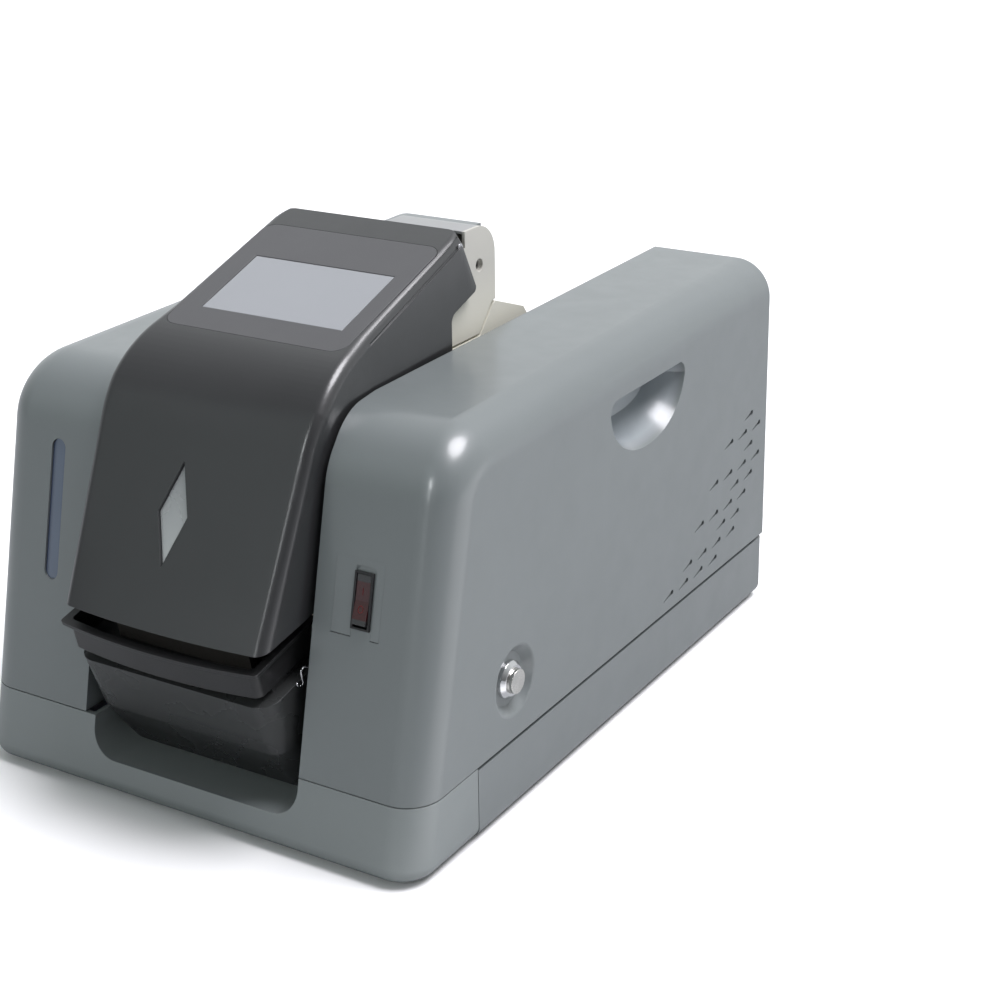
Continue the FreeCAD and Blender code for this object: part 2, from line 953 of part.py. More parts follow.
def right_cover():
    shell = cover_shell("right")
    cup, scoop = grip_cup("right_grip")
    boss = cylinder(
        "button_boss", "x",
        (inner_half - s.dish_depth, -s.button_y, s.button_z),
        s.dish_boss_radius, s.dish_depth + s.cover_wall / 2,
    )
    shell = fuse("right_cover_body", shell, cup, boss)
    spread = (s.dish_radius - s.dish_floor_radius) * (s.cutter_overrun / s.dish_depth)
    dish = cone(
        "button_dish", "x", (half_width - s.dish_depth, -s.button_y, s.button_z),
        s.dish_floor_radius, s.dish_radius + spread, s.dish_depth + s.cutter_overrun,
    )
    rim_length = s.dish_radius.value * math.pi * 2

    def dish_rim(edge):
        at_face = abs(edge.BoundBox.XMin - half_width.value) < TOUCH
        return at_face and abs(edge.Length - rim_length) < s.dish_depth.value / 10

    shell = round_edges(cut("right_cover_dished", shell, dish), dish_rim, s.dish_rim_radius)
    barrel_hole = cylinder(
        "button_hole", "x",
        (inner_half - s.dish_depth * 2, -s.button_y, s.button_z),
        s.barrel_radius, s.dish_depth * 4,
    )
    spot_face = cylinder(
        "button_spot_face", "x", (half_width - s.dish_depth, -s.button_y, s.button_z),
        s.bezel_radius + s.running_gap, s.dish_depth * 2,
    )
    width = s.switch_width / 2 - s.switch_bezel_wall + s.switch_cut_clearance
    height = s.switch_height / 2 - s.switch_bezel_wall + s.switch_cut_clearance
    switch_hole = lean.block(
        "switch_hole", (-height, height), (-s.cover_wall * 2, s.cover_wall),
        switch_x - width, switch_x + width,
    )
    vents = vent_cutter("right_vent")
    tools = (scoop, spot_face, barrel_hole, switch_hole, vents)
    return node(cut("right_cover_cut", shell, *tools), "right_cover")


def left_cover():
    shell = cover_shell("left")
    cup, scoop = grip_cup("left_grip")
    shell = fuse("left_cover_body", shell, cup)
    vents = vent_cutter("left_vent")
    cut_shell = cut("left_cover_right_handed", shell, scoop, vents)
    twin = mirrored("left_cover_mirrored", cut_shell)
    return node(cut("left_cover_cut", twin, level_slot("level_slot", ZERO)), "left_cover")


def level_window():
    middle = (s.level_low_z + s.level_high_z) / 2
    face = Slope(front_y(middle), middle, lean.along, lean.out)
    reach = s.level_high_z - s.level_low_z
    behind = -(s.cover_wall + s.level_lens)
    layers = []
    for name, clearance, low_out, high_out in (
        ("level_lens_pane", s.running_gap / 2, behind, -s.level_set_back),
        ("level_lens_flange", -s.cutter_overrun, behind, -s.cover_wall),
    ):
        slab = face.block(
            name + "_layer", (-reach, reach), (low_out, high_out),
            -(level_x + s.level_width), -(level_x - s.level_width),
        )
        layers.append(common(name, level_slot(name + "_bar", clearance), slab))
    return node(fuse("level_lens", *layers), "level_window")


def skirt_profile(inset, low_z, high_z, rear):
    return [
        (front_y(low_z, inset), low_z),
        (front_y(high_z, inset), high_z),
        (rear, high_z),
        (rear, low_z),
    ]


def front_skirt():
    """Lower front moulding with the outlet mouth cut into it."""
    low = s.floor_gap
    high = s.seam_height - s.front_seam_gap / 2
    rear = -s.skirt_split
    outer_points = skirt_profile(ZERO, low, high, rear)
    outer = prism("front_skirt_block", "x", outer_points, -half_width, half_width)
    doc.recompute()

    def upright_front(inset):
        side = (half_width - inset).value
        limit = (rear - s.cutter_overrun * 4).value

        def chosen(edge):
            limits = edge.BoundBox
            at_side = abs(abs(limits.XMin) - side) < TOUCH and abs(abs(limits.XMax) - side) < TOUCH
            return at_side and limits.ZLength > limits.YLength and limits.YMax < limit

        return chosen

    outer = round_edges(outer, upright_front(ZERO), s.plan_corner_radius)
    outer = round_edges(
        outer,
        lambda edge: edge.BoundBox.ZMax < low.value + TOUCH and edge.BoundBox.YMin < rear.value - TOUCH,
        s.bottom_edge_radius,
    )
    floor = low + s.cover_wall
    inner_points = skirt_profile(s.cover_wall, floor, high + s.cutter_overrun, rear + s.cutter_overrun)
    inner = prism("front_skirt_room", "x", inner_points, -inner_half, inner_half)
    inner = round_edges(inner, upright_front(s.cover_wall), s.plan_corner_radius - s.cover_wall)
    flange = s.skirt_flange
    opening = box(
        "front_skirt_opening",
        (-(half_width - flange), -(s.front_reach - flange), ZERO),
        (half_width - flange, rear + s.cutter_overrun, floor + s.cutter_overrun),
    )
    shell = cut("front_skirt_shell", outer, inner, opening)
    reach = s.front_reach + s.cutter_overrun * 10
    depth = s.front_reach - s.mouth_depth

    def mouth_form(name, offset, top, front, back):
        left = s.mouth_left + offset
        right = s.mouth_right + offset
        low_z = s.mouth_floor - offset
        points = [(-left, low_z), (right, low_z), (right, top), (-left, top)]
        form = prism(name, "y", points, front, back)
        radius = s.mouth_corner_radius + offset
        return round_corners(form, "y", [(points[0], radius), (points[1], radius)])

    scoop = mouth_form("mouth_walls", s.cover_wall, high, -reach, -depth)
    envelope_points = skirt_profile(ZERO, low, high, rear)
    envelope = prism("mouth_envelope", "x", envelope_points, -half_width, half_width)
    scoop = common("mouth_scoop", scoop, envelope)
    cutter = mouth_form("mouth_cutter", ZERO, high + s.cutter_overrun, -reach, -(depth - s.cutter_overrun))
    return node(cut("front_skirt_cut", fuse("front_skirt_body", shell, scoop), cutter), "front_skirt")


def rear_skirt():
    """Lower band round the sides and the rear."""
    low = s.floor_gap
    high = s.seam_height - s.side_seam_gap
    front = -(s.skirt_split - s.front_seam_gap)
    points = [(front, low), (front, high), (rear_y(high), high), (rear_y(low), low)]
    outer = prism("rear_skirt_block", "x", points, -half_width, half_width)

    def upright_rear(edge):
        limits = edge.BoundBox
        return limits.ZLength > limits.YLength and limits.ZLength > limits.XLength and limits.YMin > 0

    outer = round_edges(outer, upright_rear, s.rear_corner_radius)
    outer = round_edges(
        outer,
        lambda edge: edge.BoundBox.ZMax < low.value + TOUCH and edge.BoundBox.YMax > front.value + TOUCH,
        s.bottom_edge_radius - s.cover_wall / 2,
    )
    floor = low + s.cover_wall
    above = high + s.cutter_overrun
    ahead = front - s.cutter_overrun
    room = [
        (ahead, floor),
        (ahead, above),
        (rear_y(above, s.cover_wall), above),
        (rear_y(floor, s.cover_wall), floor),
    ]
    inner = prism("rear_skirt_room", "x", room, -inner_half, inner_half)
    flange = s.skirt_flange
    opening = box(
        "rear_skirt_opening",
        (-(half_width - flange), ahead, ZERO),
        (half_width - flange, s.rear_reach - flange, above),
    )
    return node(cut("rear_skirt_shell", outer, inner, opening), "rear_skirt")


pan_z = s.floor_gap + s.cover_wall
pan_top = pan_z + s.pan_thickness
inner_face = s.plate_face - s.plate_thickness
FOOT_SPOTS = ((-1, -1), (1, -1), (-1, 1), (1, 1))


def base_parts():
    side = inner_half - s.pan_clearance
    rear = s.rear_reach - s.cover_wall - s.pan_clearance * 2
    shoulder = -(s.skirt_split + s.plan_corner_radius / 2)
    front = -(s.front_reach - s.pan_front_gap)

    def pan_points(inset, front_y_):
        edge = side - inset
        round_ = s.plan_corner_radius - s.cover_wall
        nose = edge - round_
        bend = edge - round_ * s.pan_bend_share
        bend_y = front + inset + round_ * s.pan_bend_share
        return [
            (-edge, rear - inset),
            (-edge, shoulder),
            (-bend, bend_y),
            (-nose, front_y_),
            (nose, front_y_),
            (bend, bend_y),
            (edge, shoulder),
            (edge, rear - inset),
        ]

    tray_block = prism("pan_block", "z", pan_points(ZERO, front), pan_z, pan_z + s.pan_flange)
    room = prism(
        "pan_room", "z", pan_points(s.pan_thickness, front - s.cutter_overrun), pan_top,
        pan_z + s.pan_flange + s.cutter_overrun,
    )
    node(cut("pan_cut", tray_block, room), "base_pan")
    feet = []
    for number, (side_x, side_y) in enumerate(FOOT_SPOTS):
        foot_y = s.rear_reach - s.foot_rear_inset if side_y > 0 else -(s.front_reach - s.foot_front_inset)
        foot_x = inner_half - s.foot_side_inset
        feet.append(
            cylinder("foot_%d" % number, "z", (side_x * foot_x, foot_y, ZERO), s.foot_radius, pan_z)
        )
    node(group("foot_set", *feet), "feet")


def rear_panel():
    side = s.channel_half - s.panel_clearance
    low = s.seam_height
    plate = box(
        "rear_panel_plate",
        (-side, s.rear_panel_y, low),
        (side, s.rear_panel_y + s.rear_panel_thickness, s.rear_panel_top_z),
    )
    width = s.inlet_width / 2
    height = s.inlet_height / 2
    hole = box(
        "inlet_hole",
        (s.inlet_x - width, s.rear_panel_y - s.cutter_overrun, s.inlet_z - height),
        (s.inlet_x + width, s.rear_panel_y + s.cutter_overrun * 3, s.inlet_z + height),
    )
    node(cut("rear_panel_cut", plate, hole), "rear_panel")
    front = s.rear_panel_y + s.rear_panel_thickness
    wide = width + s.inlet_flange
    tall = height + s.inlet_flange
    flange = box(
        "inlet_flange_block",
        (s.inlet_x - wide, front, s.inlet_z - tall),
        (s.inlet_x + wide, front + s.rear_panel_thickness, s.inlet_z + tall),
    )
    body = box(
        "inlet_body",
        (s.inlet_x - width, s.rear_panel_y - s.bay_sheet * 2, s.inlet_z - height),
        (s.inlet_x + width, front, s.inlet_z + height),
    )
    lip = s.inlet_flange / 2
    socket = box(
        "inlet_socket",
        (s.inlet_x - width + lip, s.rear_panel_y - s.bay_sheet, s.inlet_z - height + lip),
        (s.inlet_x + width - lip, front + s.cutter_overrun * 2, s.inlet_z + height - lip),
    )
    pins = []
    for number, (side_x, side_z) in enumerate(((-1, -1), (0, 1), (1, -1))):
        pin_x = s.inlet_x + side_x * s.inlet_flange * s.inlet_pin_share
        pin_z = s.inlet_z + side_z * s.inlet_flange / 2
        half_pin = s.rear_panel_thickness / 2
        pins.append(
            box(
                "inlet_pin_%d" % number,
                (pin_x - half_pin, s.rear_panel_y - s.bay_sheet * 2, pin_z - lip),
                (pin_x + half_pin, front, pin_z + lip),
            )
        )
    shell = cut("inlet_shell", fuse("inlet_block", flange, body), socket)
    node(fuse("inlet_whole", shell, *pins), "mains_inlet")


# Hood with its display, window and hinge


def hood_profile(inset, open_by):
    """Corners of the hood's side view; an inset form also runs out through the rear and the bottom."""
    top = hood_top
    # Lines parallel to the top and the front, moved in by the inset, meet at the inner knee
    turn = (90 - s.hood_front_angle - s.hood_slope_angle) / 2
    setback = inset * tan_of(turn)
    corner = top.point(
        (s.hood_knee_y - s.hood_top_y) / cos_of(s.hood_slope_angle) - setback, -inset
    )
    front_length = (hood_knee_z - s.tray_front_z - s.hood_over_tray) / cos_of(s.hood_front_angle)
    bottom_front = hood_front.point(front_length + open_by, -inset)
    rear_top = top.point(-open_by, -inset)
    return corner, bottom_front, rear_top


def hood_outer():
    """The hood's outside: three tapered forms with rounded edges, met at the waist and the shoulder."""
    corner, bottom_front, rear_top = hood_profile(ZERO, ZERO)
    points = [
        bottom_front,
        corner,
        rear_top,
        (-s.hood_tail_y, s.hood_top_z - s.hood_tail_drop),
        (-s.hood_notch_y, s.hood_top_z - s.hood_notch_drop),
        (-s.hood_notch_y, s.hood_side_bottom_z),
    ]
    widest = s.hood_shoulder_half * s.hood_stock_share
    profile = prism("hood_profile", "x", points, -widest, widest)
    rounds = [
        (corner, s.hood_knee_radius),
        (points[3], s.hood_tail_radius),
        (points[4], s.hood_tail_radius * 2),
    ]
    round_corners(profile, "x", rounds)
    rear = -s.hood_tail_y + s.cutter_overrun * 2
    front = -(s.front_reach + s.cutter_overrun * 15)
    low_z = s.tray_front_z
    tail = (s.hood_rear_half, -s.hood_top_y)
    waist = (s.hood_waist_half, -s.hood_waist_y)
    shoulder = (s.hood_shoulder_half, -s.hood_shoulder_y)
    nose = (s.hood_front_half, -s.hood_front_y)

    def tapered(label, near, far):
        """The whole profile between two straight sides that pass through both points."""
        slope = (far[0] - near[0]) / (far[1] - near[1])
        rear_x = near[0] + (rear - near[1]) * slope
        front_x = near[0] + (front - near[1]) * slope
        corners = [(rear_x, rear), (front_x, front), (-front_x, front), (-rear_x, rear)]
        plan = prism("hood%s_plan" % label, "z", corners, low_z, s.hood_top_z + s.cutter_overrun)
        form = common("hood%s_form" % label, profile, plan)
        doc.recompute()

        def long_edge(edge):
            """The edges between the hood's sides and its top, knee and front."""
            faces = form.Shape.ancestorsOfType(edge, Part.Face)
            normals = [face.normalAt(*middle_of(face)) for face in faces]
            sides = [normal for normal in normals if abs(normal.x) > MOSTLY]
            skins = [
                normal for normal in normals
                if abs(normal.x) < MOSTLY and normal.y < 1 - MOSTLY and normal.z > 1 - NEARLY_ALL
            ]
            return len(sides) == 1 and len(skins) == 1

        return round_edges(form, long_edge, s.hood_edge_radius)

    wide = s.hood_shoulder_half * 2
    above = s.hood_top_z + s.cutter_overrun * 2
    meet = -(s.hood_waist_y + s.hood_shoulder_y * 2) / 3
    below = low_z - s.cutter_overrun
    ahead = box("hood_ahead", (-wide, front - s.cutter_overrun, below), (wide, meet, above))
    rear_part = cut("hood_rear_part", tapered("_rear", tail, waist), ahead)
    front_part = common("hood_front", tapered("_flare", waist, shoulder), tapered("_nose", shoulder, nose))
    return fuse("hood_outer", rear_part, front_part)


def hood_room():
    """The space in the hood, which runs out through its rear and its bottom."""
    wall = s.hood_wall
    stretch = s.cutter_overrun * 10
    corner, bottom_front, rear_top = hood_profile(wall, stretch)
    points = [bottom_front, corner, rear_top, (rear_top[0], s.hood_side_bottom_z - stretch)]
    widest = s.hood_shoulder_half * s.hood_stock_share
    profile = prism("hood_room_profile", "x", points, -widest, widest)
    round_corners(profile, "x", [(corner, s.hood_knee_radius - wall)])
    rear = -s.hood_tail_y + s.cutter_overrun * 2 + stretch
    front = -(s.front_reach + s.cutter_overrun * 15)
    sides = [
        (s.hood_rear_half - wall, rear),
        (s.hood_rear_half - wall, -s.hood_top_y),
        (s.hood_waist_half - wall, -s.hood_waist_y),
        (s.hood_shoulder_half - wall, -s.hood_shoulder_y),
        (s.hood_front_half - wall, -s.hood_front_y),
        (s.hood_front_half - wall, front),
    ]
    corners = sides + [(-x, y) for x, y in reversed(sides)]
    low_z = s.tray_front_z - stretch * 2
    plan = prism("hood_room_plan", "z", corners, low_z, s.hood_top_z + s.cutter_overrun)
    return common("hood_room", profile, plan)


def middle_of(face):
    low_u, high_u, low_v, high_v = face.ParameterRange
    return ((low_u + high_u) / 2, (low_v + high_v) / 2)


overlay_end = s.overlay_start + s.overlay_length
screen_end = s.screen_start + s.screen_height


def across_top(edge):
    """True for an edge that stands square to the hood's top."""
    rise = FreeCAD.Vector(0, hood_top.out[0].value, hood_top.out[1].value)
    run = edge.Vertexes[-1].Point - edge.Vertexes[0].Point
    return abs(run.dot(rise)) > NEARLY_ALL * run.Length


def hood():
    outer = hood_outer()
    inner = hood_room()
    gap = s.overlay_gap
    pocket = hood_top.block(
        "overlay_pocket", (s.overlay_start - gap, overlay_end + gap),
        (-s.overlay_thickness, s.cutter_overrun),
        -(s.overlay_half_width + gap), s.overlay_half_width + gap,
    )
    pocket = round_edges(pocket, across_top, s.overlay_corner_radius + gap)
    half = s.screen_width / 2 + s.screen_gap * 2
    screen_hole = hood_top.block(
        "hood_screen_hole", (s.screen_start - s.screen_gap * 2, screen_end + s.screen_gap * 2),
        (-s.hood_wall * 2, s.cutter_overrun), s.screen_x - half, s.screen_x + half,
    )
    window = window_form("window_hole", ZERO, -s.hood_wall * 2, s.cutter_overrun)
    pins = []
    for side in (-1, 1):
        depth = s.hood_rear_half - s.hinge_skin - inner_face
        low_x = inner_face if side > 0 else -(inner_face + depth)
        pins.append(
            cylinder(
                "hinge_bore_%d" % side, "x", (low_x, -s.hinge_y, hinge_z),
                s.hinge_pin_radius + s.hinge_clearance, depth,
            )
        )
    node(cut("hood_cut", outer, inner, pocket, screen_hole, window, *pins), "hood_shell")


def window_points(grow):
    """The four corners of the rhombus window, as distances across and down the hood's front."""
    wide = s.window_half_width + grow
    tall = s.window_half_height + grow * (s.window_half_height / s.window_half_width)
    middle = s.window_centre
    return [(ZERO, middle - tall), (wide, middle), (ZERO, middle + tall), (-wide, middle)]


def window_form(name, grow, low_out, high_out):
    """A rhombus standing square to the hood's front."""
    item = doc.addObject("Part::Feature", name)
    outline = []
    for across, down in window_points(as_size(grow)):
        y, z = hood_front.point(down, as_size(low_out))
        outline.append(FreeCAD.Vector((s.window_x + across).value, y.value, z.value))
    rise = FreeCAD.Vector(0, hood_front.out[0].value, hood_front.out[1].value)
    rise = rise * (as_size(high_out) - low_out).value
    item.Shape = Part.Face(Part.makePolygon(outline + outline[:1])).extrude(rise)
    return item


def hood_inserts():
    plate = hood_top.block(
        "overlay_plate", (s.overlay_start, overlay_end), (-s.overlay_thickness, ZERO),
        -s.overlay_half_width, s.overlay_half_width,
    )
    plate = round_edges(plate, across_top, s.overlay_corner_radius)
    half = s.screen_width / 2 + s.screen_gap
    hole = hood_top.block(
        "overlay_hole", (s.screen_start - s.screen_gap, screen_end + s.screen_gap),
        (-s.cutter_overrun, s.cutter_overrun), s.screen_x - half, s.screen_x + half,
    )
    node(cut("overlay_cut", plate, hole), "display_overlay")
    glass = s.screen_width / 2
    pane = hood_top.block(
        "screen_pane", (s.screen_start, screen_end), (-s.hood_wall - s.screen_thickness / 2, -s.overlay_gap),
        s.screen_x - glass, s.screen_x + glass,
    )
    board_half = s.display_board_width / 2
    middle = (s.screen_start + screen_end) / 2
    reach = s.display_board_height / 2
    module = hood_top.block(
        "screen_module", (middle - reach, middle + reach),
        (-(s.hood_wall + s.screen_thickness), -s.hood_wall),
        s.screen_x - board_half, s.screen_x + board_half,
    )
    node(fuse("screen_whole", pane, module), "touch_screen")
    root = -s.hood_wall - s.window_thickness / 2
    plug = window_form("window_plug", -s.overlay_gap, root, -s.window_set_back)
    flange = window_form("window_flange", s.window_bevel, -(s.hood_wall + s.window_thickness), -s.hood_wall)
    node(fuse("window_whole", plug, flange), "hood_window")


# Outlet tray, brushes and chute


def bowed_form(name, grow, rear, out, corner_radius):
    """A block of the tray's outline, grown all round, with a bowed front and rounded corners."""
    side = s.tray_half_width + grow
    ahead = -(grow + s.cutter_overrun)
    block = tray.block(
        name + "_block", (as_size(ahead), rear), out, s.tray_middle_x - side, s.tray_middle_x + side
    )
    low = out[0] - s.cutter_overrun
    high = out[1] + s.cutter_overrun
    bow = tray.rod(name + "_bow", s.tray_middle_x, s.tray_bow_radius, low, high, s.tray_bow_radius + grow)

    def upright(edge):
        direction = edge.Vertexes[-1].Point - edge.Vertexes[0].Point
        return abs(direction.x) < TOUCH and abs(direction.z) > NEARLY_ALL * direction.Length

    return round_edges(common(name + "_form", block, bow), upright, corner_radius)


def outlet_tray():
    wall = s.tray_wall
    corner = s.tray_corner_radius
    body = bowed_form("tray", ZERO, s.tray_depth, (-s.tray_height, ZERO), corner)
    room_out = (-(s.tray_height - wall), s.cutter_overrun)
    room = bowed_form("tray_room", -wall, s.tray_depth - wall, room_out, corner - wall)
    rim_out = (-s.rim_thickness, ZERO)
    rim = bowed_form("tray_rim", s.rim_overhang, s.tray_depth, rim_out, s.rim_corner_radius)
    node(cut("tray_cut", fuse("tray_body", body, rim), room), "outlet_tray")
    brushes = []
    for number in (0, 1):
        start = s.brush_first + number * (s.brush_row_depth + s.brush_row_gap)
        brushes.append(
            tray.block(
                "brush_%d" % number, (start, start + s.brush_row_depth),
                (-(s.tray_height - wall), s.brush_tip), -s.brush_half_width, s.brush_half_width,
            )
        )
    node(group("brush_set", *brushes), "brushes")


chute_out = -(s.tray_height + s.running_gap)


def chute_outline(inset, low_cut):
    slope = tan_of(s.tray_angle)
    top_rear_z = s.chute_top_z + (s.chute_top_y - s.chute_rear_y) * slope
    return [
        (-s.chute_top_y + inset, s.chute_top_z - inset),
        (-s.chute_bend_y + inset, s.chute_bend_z + inset / 4),
        (-s.chute_foot_y + inset, s.chute_foot_z + inset),
        (-s.chute_rear_y + low_cut, s.chute_foot_z + inset),
        (-s.chute_rear_y + low_cut, top_rear_z - inset + low_cut * slope),
    ]


def chute_sides(name, block, inset):
    """Keeps what lies within the mouth's rounded shape, moved in by an inset."""
    side = s.chute_half_width - inset
    low = s.chute_foot_z + inset
    points = [(-side, low), (side, low), (side, s.hood_side_bottom_z), (-side, s.hood_side_bottom_z)]
    envelope = prism(name + "_envelope", "y", points, -s.tray_front_y, -s.chute_rear_y + s.cutter_overrun)
    radius = s.mouth_corner_radius - s.running_gap * 3 - inset
    round_corners(envelope, "y", [(points[0], radius), (points[1], radius)])
    return common(name, block, envelope)


def outlet_chute():
    """Closed nose below the tray, open at its rear, with two runners that carry the tray."""
    side = s.chute_half_width
    outer = prism("chute_block", "x", chute_outline(ZERO, ZERO), -side, side)

    def nose_edge(edge):
        limits = edge.BoundBox
        ahead = limits.YMin < -s.chute_foot_y.value - 1
        return limits.XLength < TOUCH and ahead and limits.ZMax < s.chute_top_z.value + 1

    outer = round_edges(outer, nose_edge, s.chute_corner_radius)
    wall = s.chute_wall
    room = prism("chute_room", "x", chute_outline(wall, s.cutter_overrun), -(side - wall), side - wall)
    room = round_edges(room, nose_edge, s.chute_corner_radius - wall)
    form = chute_sides("chute_form", outer, ZERO)
    shell = cut("chute_shell", form, chute_sides("chute_hollow", room, wall))
    parts = [shell]
    rear_start = s.tray_depth * s.runner_start_share
    for sign in (-1, 1):
        low_x = sign * (s.tray_half_width - s.runner_inset) - s.runner_width / 2
        low_out = -(s.tray_height + (s.tray_front_z - s.tray_height - s.chute_top_z) + wall * 2)
        parts.append(
            tray.block(
                "tray_runner_%d" % sign, (rear_start, s.tray_depth), (low_out, chute_out),
                low_x, low_x + s.runner_width,
            )
        )
        # Lugs that meet the frame plates' outer faces
        low_lug = s.plate_face if sign > 0 else -(side - wall / 2)
        lug_width = side - wall / 2 - s.plate_face
        parts.append(
            box(
                "chute_lug_%d" % sign,
                (low_lug, -(s.plate_front_y + wall), s.chute_bend_z),
                (low_lug + lug_width, -s.chute_rear_y, s.chute_bend_z + s.bay_roller_radius),
            )
        )
    node(fuse("chute_whole", *parts), "outlet_chute")


# Frame plates, feed head and hinge pins

feed_y, feed_z = path.point(ZERO, -s.feed_radius)
press_y, press_z = path.point(ZERO, s.pressure_radius + s.running_gap)
TIE_SPOT_SHARES = ((-0.7, 0.12), (-0.88, 0.42), (0.16, 0.16), (0.16, 0.86))


def board_studs():
    """Studs pressed into the right plate, which carry the control board."""
    studs = []
    for number, (side_y, side_z) in enumerate(FOOT_SPOTS):
        y = s.board_y + side_y * (s.board_length / 2 - s.standoff_inset)
        z = s.board_low_z + s.board_height / 2 + side_z * (s.board_height / 2 - s.standoff_inset)
        start = s.plate_face - s.plate_thickness / 2
        length = s.board_standoff + s.plate_thickness / 2
        studs.append(cylinder("stud_%d" % number, "x", (start, y, z), s.standoff_radius, length))
    return studs


def frame_plate(sign):
    name = "frame_plate_right" if sign > 0 else "frame_plate_left"
    low_x = inner_face if sign > 0 else -s.plate_face
    parting_z = s.head_parting_z
    points = [
        (-s.plate_front_y, pan_top),
        (-s.plate_front_y, s.plate_bay_z),
        (-(s.plate_front_y - s.head_corner_radius), s.plate_top_z - s.head_gap * 2),
        (-(s.plate_front_y - s.head_corner_radius * s.plate_shoulder_share), s.plate_top_z),
        (s.access_y, s.plate_top_z),
        (s.peak_front_y - s.head_gap * 2, parting_z - s.head_gap),
        (s.peak_front_y, parting_z),
        (s.peak_rear_y, s.peak_rear_z),
        (s.peak_rear_y + s.head_gap * 3, s.plate_top_z),
        (s.peak_rear_y + s.plate_foot_width, s.plate_bay_z),
        (s.plate_rear_y - s.plate_thickness, s.plate_bay_z),
        (s.plate_rear_y - s.plate_thickness, pan_top),
    ]
    plate = prism(name + "_sheet", "x", points, low_x, low_x + s.plate_thickness)
    foot_low = s.plate_face - s.plate_thickness / 2 if sign > 0 else -(s.plate_face + s.plate_foot_width)
    foot_high = foot_low + s.plate_foot_width + s.plate_thickness / 2
    foot = box(
        name + "_foot",
        (foot_low, -s.plate_front_y, pan_top),
        (foot_high, s.plate_rear_y - s.plate_thickness, pan_top + s.plate_thickness),
    )
    start_x = low_x - s.cutter_overrun
    through = s.plate_thickness + s.cutter_overrun * 2
    journal = s.feed_shaft_radius + s.journal_clearance
    bores = [
        ("feed", feed_y, feed_z, s.bearing_radius),
        ("arm", -s.arm_pivot_y, s.arm_pivot_z, s.arm_pivot_radius),
        ("rod", s.bay_centre_y, s.slide_rod_z, s.feed_shaft_radius),
        ("front_roller", s.bay_centre_y - s.bay_roller_spacing / 2, s.bay_roller_z, journal),
        ("rear_roller", s.bay_centre_y + s.bay_roller_spacing / 2, s.bay_roller_z, journal),
    ]
    tools = [
        cylinder("%s_%s_bore" % (name, label), "x", (start_x, y, z), radius, through)
        for label, y, z, radius in bores
    ]
    studs = board_studs() if sign > 0 else []
    return node(cut(name + "_cut", fuse(name + "_body", plate, foot, *studs), *tools), name)


def frame_ties():
    """Spacer rods between the frame plates."""
    ties = []
    for number, (y_share, z_share) in enumerate(TIE_SPOT_SHARES):
        y = y_share * s.plate_front_y
        z = z_share * s.plate_top_z
        ties.append(cylinder("tie_%d" % number, "x", (-inner_face, y, z), s.tie_rod_radius, inner_face * 2))
    node(group("tie_set", *ties), "frame_ties")


def head_plate(sign):
    name = "head_plate_right" if sign > 0 else "head_plate_left"
    low_x = inner_face if sign > 0 else -s.plate_face
    gap = s.head_gap
    skin = s.head_cover_thickness if sign > 0 else ZERO
    top_z = head_top_z + skin if sign > 0 else head_left_top_z
    rear_y = s.head_rear_y + skin
    top_rear = (rear_y, top_z)
    ear_z = hinge_z - gap / 2
    front_ear = (-s.head_front_top_y, ear_z - s.head_swing_drop)
    front_top = (-s.head_front_top_y, top_z)
    crown = [front_top, front_ear] if sign > 0 else [(s.access_y, top_z), (-s.hinge_y, ear_z)]
    points = [
        (-s.head_front_y, s.plate_top_z + gap),
        (s.access_y - gap / 2, s.plate_top_z + gap),
        (s.head_rear_y - gap * 2, s.head_parting_z + gap / 2),
        (rear_y, s.head_parting_z + gap),
        top_rear,
        *crown,
        (-(s.hinge_y + s.hinge_ear_radius), ear_z),
        (-s.head_front_y, ear_z - s.guide_bush_radius),
    ]
    upper = prism(name + "_sheet", "x", points, low_x, low_x + s.plate_thickness)
    radius = s.head_corner_radius + skin if sign > 0 else s.head_lap_radius
    round_corners(upper, "x", [(top_rear, radius)])
    lap_low = inner_face - s.plate_thickness if sign > 0 else -inner_face
    lap_points = [
        (-s.head_front_y, s.plate_top_z - s.head_lap),
        (s.access_y, s.plate_top_z - s.head_lap),
        (s.head_rear_y - gap * 2, s.head_parting_z - s.head_lap / 2),
        (s.head_rear_y - gap * 2, s.head_parting_z + s.guide_bush_radius),
        (-s.head_front_y, s.head_parting_z + s.guide_bush_radius),
    ]
    lap = prism(name + "_lap", "x", lap_points, lap_low, lap_low + s.plate_thickness)
    ear = cylinder(name + "_ear", "x", (low_x, -s.hinge_y, hinge_z), s.hinge_ear_radius, s.plate_thickness)
    start_x = low_x - s.cutter_overrun
    through = s.plate_thickness + s.cutter_overrun
    start_x = low_x if sign > 0 else start_x
    boss_low = inner_face - s.guide_bush_radius if sign > 0 else -inner_face
    bush = s.guide_bush_radius
    boss = cylinder(name + "_boss", "x", (boss_low, s.access_y, s.access_z), bush, bush)
    boss_bore = cylinder(
        name + "_boss_bore", "x", (boss_low - s.cutter_overrun, s.access_y, s.access_z),
        s.guide_journal_radius + s.journal_clearance, s.guide_bush_radius + s.cutter_overrun * 2,
    )
    pin_bore = cylinder(name + "_pin_bore", "x", (start_x, -s.hinge_y, hinge_z), s.hinge_pin_radius, through)
    access = cylinder(name + "_access", "x", (start_x, s.access_y, s.access_z), s.access_hole_radius, through)
    body = fuse(name + "_body", upper, lap, ear, boss)
    node(cut(name + "_cut", body, pin_bore, access, boss_bore), name)


